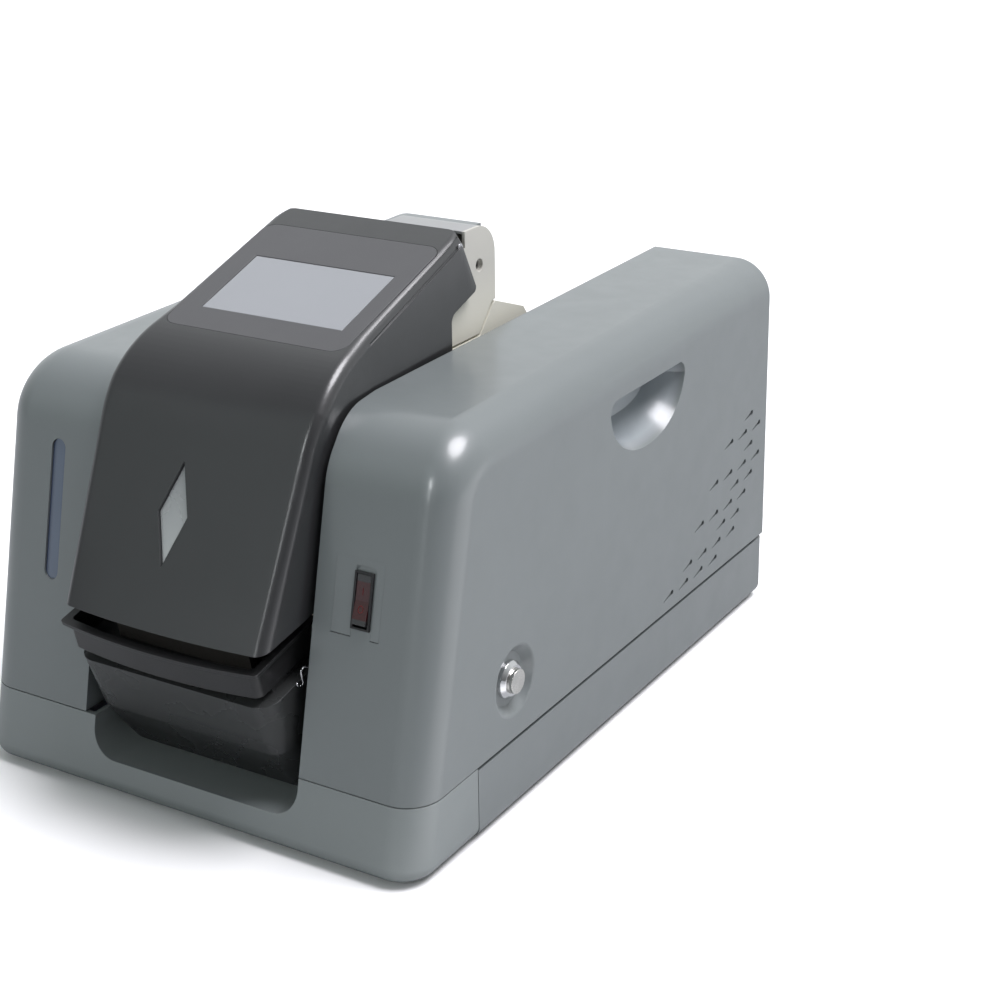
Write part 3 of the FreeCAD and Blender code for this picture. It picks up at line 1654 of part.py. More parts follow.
def head_parts():
    thick = s.head_cover_thickness
    outer_corner = (s.head_rear_y + thick, head_top_z + thick)
    inner_corner = (s.head_rear_y, head_top_z)
    low_z = head_top_z - s.head_cover_drop
    points = [
        (-s.head_front_top_y, head_top_z),
        inner_corner,
        (s.head_rear_y, low_z),
        (s.head_rear_y + thick, low_z),
        outer_corner,
        (-s.head_front_top_y, head_top_z + thick),
    ]
    cover = prism("head_cover_sheet", "x", points, s.head_cover_left, inner_face)
    radius = s.head_corner_radius
    round_corners(cover, "x", [(inner_corner, radius), (outer_corner, radius + thick)])
    side_low = s.access_z + s.guide_roller_radius + s.head_gap
    side_x = s.head_cover_left + thick
    side_points = [
        (-s.head_front_top_y, low_z), (s.head_rear_y, low_z), inner_corner, (-s.head_front_top_y, head_top_z)
    ]
    side_form = prism("head_cover_side_form", "x", side_points, s.head_cover_left, side_x)
    round_corners(side_form, "x", [(inner_corner, s.head_corner_radius)])
    side_room = box(
        "head_cover_side_room", (ZERO, -s.head_front_y, ZERO), (s.plate_face, s.head_front_y, side_low)
    )
    side = cut("head_cover_side", side_form, side_room)
    band = box(
        "head_cover_band",
        (-s.plate_face, s.head_rear_y, low_z),
        (s.head_cover_left + thick, s.head_rear_y + thick, head_left_top_z - s.head_lap_radius),
    )
    node(fuse("head_cover_whole", cover, side, band), "head_cover")
    roller = cylinder(
        "guide_roller_drum", "x", (-s.guide_roller_half, s.access_y, s.access_z),
        s.guide_roller_radius, s.guide_roller_half * 2,
    )
    journal_half = inner_face - s.plate_thickness / 2
    journal = cylinder(
        "guide_roller_journal", "x", (-journal_half, s.access_y, s.access_z),
        s.guide_journal_radius, journal_half * 2,
    )
    node(fuse("guide_roller_whole", roller, journal), "guide_roller")
    pins = []
    for sign in (-1, 1):
        length = s.hood_rear_half - s.hinge_skin - s.running_gap - inner_face
        low_x = inner_face if sign > 0 else -(inner_face + length)
        pins.append(
            cylinder("hinge_pin_%d" % sign, "x", (low_x, -s.hinge_y, hinge_z), s.hinge_pin_radius, length)
        )
    node(group("hinge_pin_set", *pins), "hinge_pins")


# Feed train


def tube(name, axis, at, radius, bore, length):
    """A round sleeve."""
    outer = cylinder(name + "_outside", axis, at, radius, length)
    start = list(at)
    index = "xyz".index(axis)
    start[index] = as_size(at[index]) - s.cutter_overrun
    inner = cylinder(name + "_bore", axis, start, bore, length + s.cutter_overrun * 2)
    return cut(name, outer, inner)


def feed_train():
    reach = s.plate_face - s.plate_thickness / 4
    shaft = cylinder("feed_shaft_bar", "x", (-reach, feed_y, feed_z), s.feed_shaft_radius, reach * 2)
    node(shaft, "feed_shaft")
    node(
        tube(
            "feed_roller_sleeve", "x", (-s.feed_half, feed_y, feed_z),
            s.feed_radius, s.feed_shaft_radius, s.feed_half * 2,
        ),
        "feed_roller",
    )
    bearings = []
    for sign in (-1, 1):
        low_x = s.plate_face - s.bearing_width if sign > 0 else -s.plate_face
        bearings.append(
            tube(
                "feed_bearing_%d" % sign, "x", (low_x, feed_y, feed_z), s.bearing_radius,
                s.feed_shaft_radius + s.journal_clearance, s.bearing_width,
            )
        )
    node(group("feed_bearing_set", *bearings), "feed_bearings")
    node(
        tube(
            "feed_pulley_ring", "x", (s.pulley_x, feed_y, feed_z),
            s.feed_pulley_radius, s.feed_shaft_radius, s.pulley_width,
        ),
        "feed_pulley",
    )
    bracket_x = s.pulley_x - s.bracket_thickness * 2
    ring = cylinder(
        "motor_pulley_ring", "x", (s.pulley_x, -s.motor_y, s.motor_z), s.motor_pulley_radius, s.pulley_width
    )
    shaft_start = bracket_x - s.bracket_thickness
    shaft = cylinder(
        "motor_shaft_bar", "x", (shaft_start, -s.motor_y, s.motor_z), s.motor_shaft_radius,
        s.pulley_x + s.pulley_width / 2 - shaft_start,
    )
    node(fuse("motor_pulley_whole", ring, shaft), "motor_pulley")
    body = cylinder(
        "motor_can", "x", (bracket_x - s.motor_length, -s.motor_y, s.motor_z), s.motor_radius, s.motor_length
    )
    bore = cylinder(
        "motor_bore", "x", (shaft_start - s.running_gap, -s.motor_y, s.motor_z),
        s.motor_shaft_radius + s.journal_clearance, s.bracket_thickness * 2,
    )
    node(cut("motor_body", body, bore), "feed_motor")
    plate = box(
        "bracket_plate",
        (bracket_x, -(s.motor_y + s.bracket_half_depth), pan_top),
        (bracket_x + s.bracket_thickness, -(s.motor_y - s.bracket_half_depth), s.motor_z + s.bracket_half_depth),
    )
    foot = box(
        "bracket_foot_plate",
        (bracket_x - s.bracket_foot, -(s.motor_y + s.bracket_half_depth), pan_top),
        (bracket_x + s.bracket_thickness / 2, -(s.motor_y - s.bracket_half_depth), pan_top + s.bracket_thickness),
    )
    hole = cylinder(
        "bracket_hole", "x", (bracket_x - s.cutter_overrun, -s.motor_y, s.motor_z),
        s.motor_shaft_radius + s.running_gap, s.bracket_thickness + s.cutter_overrun * 2,
    )
    node(cut("bracket_cut", fuse("bracket_body", plate, foot), hole), "motor_bracket")
    belt()


def belt_loop(radius_gap):
    """Outline of a loop round both pulleys: two arcs joined by their outer tangents."""
    low = FreeCAD.Vector(0, -s.motor_y.value, s.motor_z.value)
    high = FreeCAD.Vector(0, feed_y.value, feed_z.value)
    low_radius = s.motor_pulley_radius.value + radius_gap
    high_radius = s.feed_pulley_radius.value + radius_gap
    span = high - low
    aim = math.atan2(span.z, span.y)
    open_angle = math.acos((low_radius - high_radius) / span.Length)
    spots = []
    for side in (1, -1):
        angle = aim + side * open_angle
        out = FreeCAD.Vector(0, math.cos(angle), math.sin(angle))
        spots.append((low + out * low_radius, high + out * high_radius))
    ahead = FreeCAD.Vector(0, math.cos(aim), math.sin(aim))
    (low_a, high_a), (low_b, high_b) = spots
    edges = [
        Part.LineSegment(low_a, high_a).toShape(),
        Part.Arc(high_a, high + ahead * high_radius, high_b).toShape(),
        Part.LineSegment(high_b, low_b).toShape(),
        Part.Arc(low_b, low - ahead * low_radius, low_a).toShape(),
    ]
    return Part.Face(Part.Wire(edges))


def belt():
    start = s.pulley_x + (s.pulley_width - s.belt_width) / 2
    gap = s.running_gap.value
    width = FreeCAD.Vector(s.belt_width.value, 0, 0)
    outer = belt_loop(gap + s.belt_thickness.value).extrude(width)
    inner = belt_loop(gap).extrude(width)
    item = doc.addObject("Part::Feature", "belt_loop")
    item.Shape = outer.cut(inner)
    place(item, (start, ZERO, ZERO))
    node(item, "timing_belt")


def pressure_parts():
    arms = []
    for sign in (-1, 1):
        low_x = s.arm_x if sign > 0 else -(s.arm_x + s.arm_width)
        radius = s.arm_eye_radius
        eye = cylinder("arm_eye_%d" % sign, "x", (low_x, -s.arm_pivot_y, s.arm_pivot_z), radius, s.arm_width)
        end = cylinder("arm_end_%d" % sign, "x", (low_x, press_y, press_z), radius, s.arm_width)
        half = s.arm_eye_radius * s.arm_web_share
        web = prism(
            "arm_web_%d" % sign, "x",
            [
                (-s.arm_pivot_y, s.arm_pivot_z - half),
                (-s.arm_pivot_y, s.arm_pivot_z + half),
                (press_y, press_z + half),
                (press_y, press_z - half),
            ],
            low_x, low_x + s.arm_width,
        )
        start_x = low_x - s.cutter_overrun
        through = s.arm_width + s.cutter_overrun * 2
        pivot_bore = cylinder(
            "arm_pivot_bore_%d" % sign, "x", (start_x, -s.arm_pivot_y, s.arm_pivot_z),
            s.arm_pivot_radius + s.journal_clearance, through,
        )
        axle_bore = cylinder(
            "arm_axle_bore_%d" % sign, "x", (start_x, press_y, press_z),
            s.pressure_axle_radius + s.journal_clearance, through,
        )
        arms.append(cut("arm_%d" % sign, fuse("arm_body_%d" % sign, eye, end, web), pivot_bore, axle_bore))
    node(group("arm_set", *arms), "pressure_arms")
    half_axle = s.arm_x + s.arm_width
    journal = cylinder(
        "pressure_journal", "x", (-half_axle, press_y, press_z), s.pressure_axle_radius, half_axle * 2
    )
    half = s.pressure_half
    drum = cylinder("pressure_drum", "x", (-half, press_y, press_z), s.pressure_radius, half * 2)
    node(fuse("pressure_whole", drum, journal), "pressure_roller")
    node(
        cylinder(
            "arm_pivot_bar", "x", (-s.plate_face, -s.arm_pivot_y, s.arm_pivot_z),
            s.arm_pivot_radius, s.plate_face * 2,
        ),
        "arm_pivot_rod",
    )


def cutter_parts():
    at = s.cut_at
    blade = s.blade_thickness
    bed_front = at - s.blade_gap / 2 - blade
    bed = path.block(
        "bed_block", (bed_front - s.bed_depth, bed_front), (-(s.bed_height + s.blade_gap), -s.blade_gap * 3),
        -inner_face, inner_face,
    )
    ear_top = -s.bed_height / 2
    ears = []
    for sign in (-1, 1):
        low_x = s.blade_half_width + s.running_gap * 3 if sign > 0 else -inner_face
        high_x = inner_face if sign > 0 else -(s.blade_half_width + s.running_gap * 3)
        ears.append(
            path.block(
                "bed_ear_%d" % sign, (bed_front - s.bed_depth, at + s.carrier_depth / 2),
                (-(s.bed_height + s.blade_gap), ear_top), low_x, high_x,
            )
        )
    node(fuse("bed_whole", bed, *ears), "cutter_bed")
    node(
        path.block(
            "lower_blade_block", (bed_front, bed_front + blade), (-s.blade_height, -s.blade_gap),
            -s.blade_half_width, s.blade_half_width,
        ),
        "lower_blade",
    )
    upper_start = bed_front + blade + s.blade_gap
    upper_top = s.blade_rest + s.blade_height
    node(
        path.block(
            "upper_blade_block", (upper_start, upper_start + blade), (s.blade_rest, upper_top),
            -s.blade_half_width, s.blade_half_width,
        ),
        "upper_blade",
    )
    middle = upper_start + blade / 2
    half_depth = s.carrier_depth / 2
    carrier = path.block(
        "carrier_block", (middle - half_depth, middle + half_depth),
        (upper_top, upper_top + s.carrier_height),
        -s.carrier_half, s.carrier_half,
    )
    rods = []
    bores = []
    bridge_low = s.bridge_rise
    for sign in (-1, 1):
        x = sign * s.guide_rod_x
        rods.append(path.rod("blade_rod_%d" % sign, x, middle, ear_top, bridge_low, s.guide_rod_radius))
        bores.append(
            path.rod(
                "carrier_bore_%d" % sign, x, middle, upper_top - s.cutter_overrun,
                upper_top + s.carrier_height + s.cutter_overrun, s.guide_rod_radius + s.journal_clearance,
            )
        )
    node(group("blade_rod_set", *rods), "blade_guide_rods")
    half_bridge = s.bridge_depth / 2
    bridge = path.block(
        "bridge_block", (middle - half_bridge, middle + half_bridge),
        (bridge_low, bridge_low + s.bridge_thickness), -inner_face, inner_face,
    )
    clear = s.plunger_radius + s.running_gap
    hole_low = bridge_low - s.cutter_overrun
    hole_high = bridge_low + s.cutter_overrun * 3
    bridge_hole = path.rod("bridge_hole", ZERO, middle, hole_low, hole_high, clear)
    node(cut("bridge_cut", bridge, bridge_hole), "cutter_bridge")
    can_low = bridge_low + s.bridge_thickness
    can_high = can_low + s.solenoid_height
    can = path.block(
        "solenoid_can", (middle - half_bridge, middle + half_bridge), (can_low, can_high),
        -s.solenoid_half_width, s.solenoid_half_width,
    )
    can_bore = path.rod(
        "solenoid_bore", ZERO, middle, can_low - s.cutter_overrun, can_high - s.plunger_radius,
        s.plunger_radius + s.journal_clearance,
    )
    node(cut("solenoid_cut", can, can_bore), "cutter_solenoid")
    plunger_top = can_high - s.plunger_radius * 2
    plunger_low = upper_top + s.carrier_height / 2
    plunger = path.rod("plunger_rod", ZERO, middle, plunger_low, plunger_top, s.plunger_radius)
    node(cut("carrier_cut", fuse("carrier_body", carrier, plunger), *bores), "blade_carrier")


def tape_guides():
    """Sheets that lead the tape into the nip, on to the blades and down to the brushes."""
    thick = s.guide_plate_thickness
    low = -(s.guide_drop + thick)
    clear = s.feed_radius + s.cutter_overrun * s.guide_clear_share
    narrow = s.arm_x - s.cutter_overrun / 2
    entry_start = -(clear + s.pressure_half)
    entry = path.block("entry_guide", (entry_start, -clear), (low, -s.guide_drop), -narrow, narrow)
    bed_start = s.cut_at - s.blade_gap / 2 - s.blade_thickness - s.bed_depth
    middle = path.block("middle_guide", (clear, bed_start), (low, -s.guide_drop), -inner_face, inner_face)
    start = s.cut_at + s.carrier_depth / 2
    top_y, top_z = path.point(start, low - thick * 2)
    end_y, end_z = tray.point(s.tray_depth, s.cutter_overrun)
    exit_points = [
        (top_y, top_z),
        (top_y, top_z - thick * s.guide_lead_share),
        (end_y, end_z),
        (end_y, end_z + thick * s.guide_lead_share),
    ]
    leave = prism("exit_guide", "x", exit_points, -(s.blade_half_width - s.cutter_overrun), s.carrier_half)
    node(group("tape_guide_set", entry, middle, leave), "tape_guides")


# Tape bay


def bay_parts():
    sheet_t = s.bay_sheet
    front = s.bay_front_y
    rear = s.bay_rear_y
    floor = s.bay_floor_z
    points = [
        (front, s.bay_front_z),
        (front, floor),
        (rear, floor),
        (rear, s.bay_back_z),
        (rear - sheet_t, s.bay_back_z),
        (rear - sheet_t, floor + sheet_t),
        (front + sheet_t, floor + sheet_t),
        (front + sheet_t, s.bay_front_z),
    ]
    node(prism("bay_sheet_metal", "x", points, -inner_face, inner_face), "tape_bay")
    for label, sign in (("front", -1), ("rear", 1)):
        y = s.bay_centre_y + sign * s.bay_roller_spacing / 2
        drum = cylinder(
            label + "_bay_drum", "x", (-s.bay_roller_half, y, s.bay_roller_z),
            s.bay_roller_radius, s.bay_roller_half * 2,
        )
        journal = cylinder(
            label + "_bay_journal", "x", (-s.plate_face, y, s.bay_roller_z),
            s.feed_shaft_radius, s.plate_face * 2,
        )
        node(fuse(label + "_bay_whole", drum, journal), label + "_bay_roller")
    node(
        cylinder(
            "guide_rod_bar", "x", (-s.plate_face, s.bay_centre_y, s.slide_rod_z),
            s.feed_shaft_radius, s.plate_face * 2,
        ),
        "guide_rod",
    )
    for label, sign in (("left", -1), ("right", 1)):
        side_guide(label, sign)


def side_guide(label, sign):
    """A tape guide: a plate beside the roll with a hub on the rod below."""
    y = s.bay_centre_y
    wide = s.side_guide_length / 2
    stem = s.side_guide_stem / 2
    thick = s.side_guide_thickness
    low_x = s.side_guide_x if sign > 0 else -(s.side_guide_x + thick)
    points = [
        (y - stem, s.slide_rod_z),
        (y - stem, s.side_guide_low_z),
        (y - wide, s.side_guide_low_z),
        (y - wide, s.side_guide_top_z - s.side_guide_stem),
        (y - stem, s.side_guide_top_z),
        (y + stem, s.side_guide_top_z),
        (y + wide, s.side_guide_top_z - s.side_guide_stem),
        (y + wide, s.side_guide_low_z),
        (y + stem, s.side_guide_low_z),
        (y + stem, s.slide_rod_z),
    ]
    plate = prism(label + "_guide_plate", "x", points, low_x, low_x + thick)
    hub_x = low_x + thick - s.side_guide_hub_length if sign > 0 else low_x
    hub = cylinder(
        label + "_guide_hub", "x", (hub_x, y, s.slide_rod_z), s.side_guide_hub_radius, s.side_guide_hub_length
    )
    bore = cylinder(
        label + "_guide_bore", "x", (hub_x - s.cutter_overrun * 4, y, s.slide_rod_z),
        s.feed_shaft_radius + s.journal_clearance, s.side_guide_hub_length + s.cutter_overrun * 8,
    )
    node(cut(label + "_guide_cut", fuse(label + "_guide_body", plate, hub), bore), label + "_tape_guide")


# Water side


def water_parts():
    low = pan_top
    high = s.tank_high_z
    gap = s.tank_front_gap
    points = [
        (front_y(low, gap + s.cover_wall), low),
        (front_y(high, gap + s.cover_wall), high),
        (-s.tank_rear_y, high),
        (-s.tank_rear_y, low),
    ]
    outer_x = -(inner_half - s.tank_side_gap)
    inner_x = -s.tank_inner_x
    corner_radius = (inner_x - outer_x) * s.tank_corner_share
    block = prism("tank_block", "x", points, outer_x, inner_x)

    def outer_front(edge):
        limits = edge.BoundBox
        at_side = abs(limits.XMin - outer_x.value) < TOUCH and abs(limits.XMax - outer_x.value) < TOUCH
        return at_side and limits.ZLength > limits.YLength and limits.YMax < -s.tank_rear_y.value - 1

    block = round_edges(block, outer_front, corner_radius)
    wall = s.tank_wall
    room_points = [
        (front_y(low + wall, gap + s.cover_wall + wall), low + wall),
        (front_y(high - wall, gap + s.cover_wall + wall), high - wall),
        (-s.tank_rear_y - wall, high - wall),
        (-s.tank_rear_y - wall, low + wall),
    ]
    room_outer_x = outer_x + wall
    room = prism("tank_room", "x", room_points, room_outer_x, inner_x - wall)

    def room_front(edge):
        limits = edge.BoundBox
        at_side = abs(limits.XMin - room_outer_x.value) < TOUCH and abs(limits.XMax - room_outer_x.value) < TOUCH
        return at_side and limits.ZLength > limits.YLength and limits.YMax < -s.tank_rear_y.value - 3

    room = round_edges(room, room_front, corner_radius - wall)
    neck_x = (outer_x + inner_x) / 2
    neck = cylinder(
        "tank_neck", "z", (neck_x, -s.tank_cap_y, high - wall), s.tank_neck_radius, s.tank_neck_height + wall
    )
    mouth = cylinder(
        "tank_mouth", "z", (neck_x, -s.tank_cap_y, high - wall * 2), s.tank_neck_radius - wall,
        s.tank_neck_height + wall * 4,
    )
    node(cut("tank_cut", fuse("tank_body", block, neck), room, mouth), "water_tank")
    cap = cylinder(
        "cap_drum", "z", (neck_x, -s.tank_cap_y, high + s.running_gap), s.tank_cap_radius, s.tank_cap_height
    )
    cap_room = cylinder(
        "cap_room", "z", (neck_x, -s.tank_cap_y, high - s.cutter_overrun),
        s.tank_neck_radius + s.journal_clearance, s.tank_neck_height + s.cutter_overrun + s.running_gap,
    )
    node(cut("cap_cut", cap, cap_room), "tank_cap")
    hose(inner_x, -(s.tank_cap_y - s.tank_cap_radius))


def hose(start_x, start_y):
    """Fixed water hose from the tank to its end over the tray: straight runs and round bends."""
    lane_x = -(s.channel_half + s.hose_radius)
    high_z = tray.point(s.tray_depth, s.hose_radius + s.cutter_overrun)[1] + s.cutter_overrun
    run_z = s.hose_low_z
    cross_y = -(s.plate_front_y + s.hose_radius + s.cutter_overrun)
    end_x = -(inner_face - s.hose_radius * 2)
    drop_y = -(s.tray_front_y - s.tray_depth + s.hose_radius * 2)
    route = [
        (start_x, start_y, run_z),
        (lane_x, start_y, run_z),
        (lane_x, start_y - s.hose_run, high_z),
        (lane_x, cross_y, high_z),
        (end_x, cross_y, high_z),
        (end_x, drop_y, high_z - s.hose_radius),
    ]
    spots = [FreeCAD.Vector(*(as_size(length).value for length in point)) for point in route]
    bend = (s.hose_radius * s.hose_bend_share).value
    edges = []
    here = spots[0]
    for before, corner, after in zip(spots, spots[1:], spots[2:]):
        inward = (before - corner).normalize()
        onward = (after - corner).normalize()
        angle = inward.getAngle(onward)
        back = bend / math.tan(angle / 2)
        first = corner + inward * back
        last = corner + onward * back
        middle_way = (inward + onward).normalize()
        centre = corner + middle_way * (bend / math.sin(angle / 2))
        top = centre - middle_way * bend
        edges.append(Part.LineSegment(here, first).toShape())
        edges.append(Part.Arc(first, top, last).toShape())
        here = last
    edges.append(Part.LineSegment(here, spots[-1]).toShape())
    wire = Part.Wire(edges)
    circle = Part.Wire(Part.makeCircle(s.hose_radius.value, spots[0], spots[1] - spots[0]))
    item = doc.addObject("Part::Feature", "hose_tube")
    item.Shape = wire.makePipeShell([circle], True, False)
    node(item, "water_hose")


# Electrics


def electric_parts():
    low_x = -(inner_half - s.supply_side_gap)
    high_x = -(s.plate_face + s.plate_foot_width + s.supply_foot_gap)
    supply_y = s.rear_reach - s.supply_rear_gap
    node(
        box(
            "supply_block", (low_x, supply_y - s.supply_length / 2, pan_top),
            (high_x, supply_y + s.supply_length / 2, pan_top + s.supply_height),
        ),
        "power_supply",
    )
    board_x = s.plate_face + s.board_standoff
    low_y = s.board_y - s.board_length / 2
    high_y = s.board_y + s.board_length / 2
    high_z = s.board_low_z + s.board_height
    node(
        box("board_block", (board_x, low_y, s.board_low_z), (board_x + s.board_thickness, high_y, high_z)),
        "control_board",
    )
    fan_parts()


def fan_parts():
    side = s.fan_side / 2
    fan_y = s.rear_reach - s.fan_rear_gap
    high_x = inner_half
    low_x = high_x - s.fan_thickness
    block = box("fan_block", (low_x, fan_y - side, s.fan_z - side), (high_x, fan_y + side, s.fan_z + side))
    bore = cylinder(
        "fan_duct", "x", (low_x - s.cutter_overrun, fan_y, s.fan_z), s.fan_bore_radius,
        s.fan_thickness + s.cutter_overrun * 2,
    )
    frame = cut("fan_ring", block, bore)
    spoke_depth = s.fan_thickness / 6
    spokes = []
    long = s.fan_side * s.fan_spoke_share
    for number, (wide, tall) in enumerate(((long, s.fan_spoke_width), (s.fan_spoke_width, long))):
        spokes.append(
            box(
                "fan_spoke_%d" % number,
                (low_x, fan_y - wide / 2, s.fan_z - tall / 2),
                (low_x + spoke_depth, fan_y + wide / 2, s.fan_z + tall / 2),
            )
        )
    hub_plate = cylinder("fan_hub_plate", "x", (low_x, fan_y, s.fan_z), s.fan_hub_radius, spoke_depth)
    axle = cylinder(
        "fan_axle", "x", (low_x, fan_y, s.fan_z), s.fan_axle_radius, s.fan_thickness * s.fan_axle_share
    )
    node(fuse("fan_frame_whole", frame, hub_plate, axle, *spokes), "fan_frame")
    start = low_x + spoke_depth + s.running_gap
    depth = s.fan_thickness - spoke_depth * 2
    hub = cylinder("impeller_hub", "x", (start, fan_y, s.fan_z), s.fan_hub_radius, depth)
    blades = []
    for number in range(FAN_BLADES):
        blade = doc.addObject("Part::Box", "impeller_blade_%d" % number)
        turn = FreeCAD.Rotation(FreeCAD.Vector(1, 0, 0), 360.0 * number / FAN_BLADES)
        blade.Placement = FreeCAD.Placement(FreeCAD.Vector(), turn)
        bind(blade, "Length", depth)
        bind(blade, "Width", s.fan_bore_radius - s.fan_blade_gap)
        bind(blade, "Height", s.fan_blade_thickness)
        place(blade, (start, fan_y, s.fan_z))
        blades.append(blade)
    bore = cylinder(
        "impeller_bore", "x", (start - s.cutter_overrun, fan_y, s.fan_z),
        s.fan_axle_radius + s.journal_clearance, s.fan_thickness,
    )
    node(cut("impeller_cut", fuse("impeller_body", hub, *blades), bore), "fan_impeller")


# Switch and push button


def switch_parts():
    half_w = s.switch_width / 2
    half_h = s.switch_height / 2
    lip = s.switch_bezel_wall
    bezel = lean.block(
        "switch_bezel_block", (-half_h, half_h), (ZERO, s.switch_bezel), switch_x - half_w, switch_x + half_w
    )
    body = lean.block(
        "switch_body_block", (-(half_h - lip), half_h - lip), (-s.switch_body_depth, s.switch_bezel / 2),
        switch_x - half_w + lip, switch_x + half_w - lip,
    )
    wall = lip + s.switch_body_wall
    room_h = half_h - wall
    room_w = half_w - wall
    depth = s.rocker_pivot_depth * s.rocker_room_share
    room = lean.block(
        "switch_room", (-room_h, room_h), (-depth, s.switch_bezel + s.cutter_overrun),
        switch_x - room_w, switch_x + room_w,
    )
    pivot_y, pivot_z = lean.point(ZERO, -s.rocker_pivot_depth)
    bore_half = room_w + s.switch_body_wall * s.rocker_bore_wall_share
    pin_bore = cylinder(
        "rocker_pin_bore", "x", (switch_x - bore_half, pivot_y, pivot_z),
        s.rocker_pin_radius + s.journal_clearance, bore_half * 2,
    )
    node(cut("switch_cut", fuse("switch_block", bezel, body), room, pin_bore), "switch_body")
    gap = s.rocker_clearance
    reach = room_h - gap
    top_low = s.rocker_low
    top_high = s.rocker_high
    inner = -s.rocker_pivot_depth - s.rocker_pin_radius * s.rocker_root_share
    points = [
        lean.point(-(reach - s.rocker_tip), top_high),
        lean.point(ZERO, top_low * s.rocker_dip_share),
        lean.point(reach, top_low),
        lean.point(reach * s.rocker_flank_share, inner * s.rocker_low_flank_share),
        lean.point(reach * s.rocker_foot_share, inner),
        lean.point(-reach * s.rocker_foot_share, inner),
        lean.point(-reach * s.rocker_flank_share, inner * s.rocker_high_flank_share),
    ]
    half = room_w - gap
    rocker = prism("rocker_block", "x", points, switch_x - half, switch_x + half)
    pin_half = room_w + s.switch_body_wall * s.rocker_pin_wall_share
    pin_low = switch_x - pin_half
    pin = cylinder("rocker_pin", "x", (pin_low, pivot_y, pivot_z), s.rocker_pin_radius, pin_half * 2)
    node(fuse("rocker_whole", rocker, pin), "switch_rocker")


def button_parts():
    y = -s.button_y
    z = s.button_z
    seat_x = half_width - s.dish_depth
    straight = s.bezel_height - s.bezel_chamfer
    ring = cylinder("bezel_ring", "x", (seat_x, y, z), s.bezel_radius, straight)
    slope = cone(
        "bezel_slope", "x", (seat_x + straight, y, z),
        s.bezel_radius, s.bezel_radius - s.bezel_chamfer, s.bezel_chamfer,
    )
    barrel_start = seat_x - s.barrel_length
    barrel = cylinder("button_barrel", "x", (barrel_start, y, z), s.barrel_radius, s.barrel_length)
    bore = cylinder(
        "cap_bore", "x", (seat_x - s.cap_depth - s.cutter_overrun, y, z), s.cap_radius + s.cap_clearance,
        s.cap_depth + s.cutter_overrun + s.bezel_height + s.cutter_overrun,
    )
    node(cut("bezel_cut", fuse("bezel_body", ring, slope, barrel), bore), "button_bezel")
    cap = cylinder(
        "cap_block", "x", (seat_x - s.cap_depth + s.cutter_overrun, y, z), s.cap_radius,
        s.cap_depth - s.cutter_overrun + s.cap_reach,
    )
    node(cap, "button_cap")


# Build every sub-part

base_parts()
front_skirt()
rear_skirt()
right_cover()
left_cover()
level_window()
rear_panel()
hood()
hood_inserts()
outlet_tray()
outlet_chute()
frame_plate(1)
frame_plate(-1)
frame_ties()
head_plate(1)
head_plate(-1)
head_parts()
feed_train()
pressure_parts()
cutter_parts()
tape_guides()
bay_parts()
water_parts()
electric_parts()
switch_parts()
button_parts()

doc.recompute()


def check_document():
    for item in doc.Objects:
        if "Invalid" in item.State or "Error" in item.State:
            raise RuntimeError("%s (%s) did not build: %s" % (item.Name, item.Label, item.State))
    for label, item in nodes.items():
        if item.Shape.isNull() or not item.Shape.isValid():
            raise RuntimeError("%s has no valid shape" % label)
        if not item.Shape.Solids:
            raise RuntimeError("%s holds no solid" % label)


def export_nodes():
    os.makedirs("parts", exist_ok=True)
    for label, item in nodes.items():
        item.Shape.exportStep(os.path.join("parts", label + ".step"))


check_document()
export_nodes()
print("%d sub-parts" % len(nodes))
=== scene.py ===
import math

import bmesh
import bpy
from mathutils import Matrix, Vector
from mathutils.bvhtree import BVHTree


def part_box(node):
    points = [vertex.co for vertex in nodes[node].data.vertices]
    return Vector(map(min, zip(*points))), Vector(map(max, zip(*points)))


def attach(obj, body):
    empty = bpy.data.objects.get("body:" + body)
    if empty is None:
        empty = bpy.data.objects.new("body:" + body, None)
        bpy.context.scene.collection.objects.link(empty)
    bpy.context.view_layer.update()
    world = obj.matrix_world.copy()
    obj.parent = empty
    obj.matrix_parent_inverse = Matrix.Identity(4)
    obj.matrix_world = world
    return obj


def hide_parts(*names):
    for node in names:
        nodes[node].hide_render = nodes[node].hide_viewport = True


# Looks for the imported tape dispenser. Metres, in the frame of the CAD: +X to the switch side,
# -Y out of the tape mouth, +Z up, the table at zero.

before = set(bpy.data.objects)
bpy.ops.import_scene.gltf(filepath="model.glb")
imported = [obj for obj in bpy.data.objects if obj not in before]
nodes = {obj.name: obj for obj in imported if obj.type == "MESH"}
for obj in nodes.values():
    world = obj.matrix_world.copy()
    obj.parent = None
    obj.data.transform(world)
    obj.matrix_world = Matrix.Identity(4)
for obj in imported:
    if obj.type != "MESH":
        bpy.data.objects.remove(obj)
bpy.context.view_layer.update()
scene = bpy.context.scene
scene.view_settings.view_transform = "Standard"

MM = 0.001
UP = Vector((0, 0, 1))
WHITE = (1, 1, 1, 1)
BUTTON = [(low + high) / 2 for low, high in zip(*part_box("button_cap"))]


# Camera at the photograph's place: its turn from straight ahead, its tip down and its roll,
# then its place and reach in metres, and its sensor and lens in millimetres

CAMERA_YAW = math.radians(31.30)
CAMERA_PITCH = math.radians(21.97)
CAMERA_ROLL = math.radians(-0.70)
CAMERA_PLACE = (0.6355, -0.9160, 0.5667)
CAMERA_REACH = 50
CAMERA_SENSOR = 36
CAMERA_LENS = 69.68


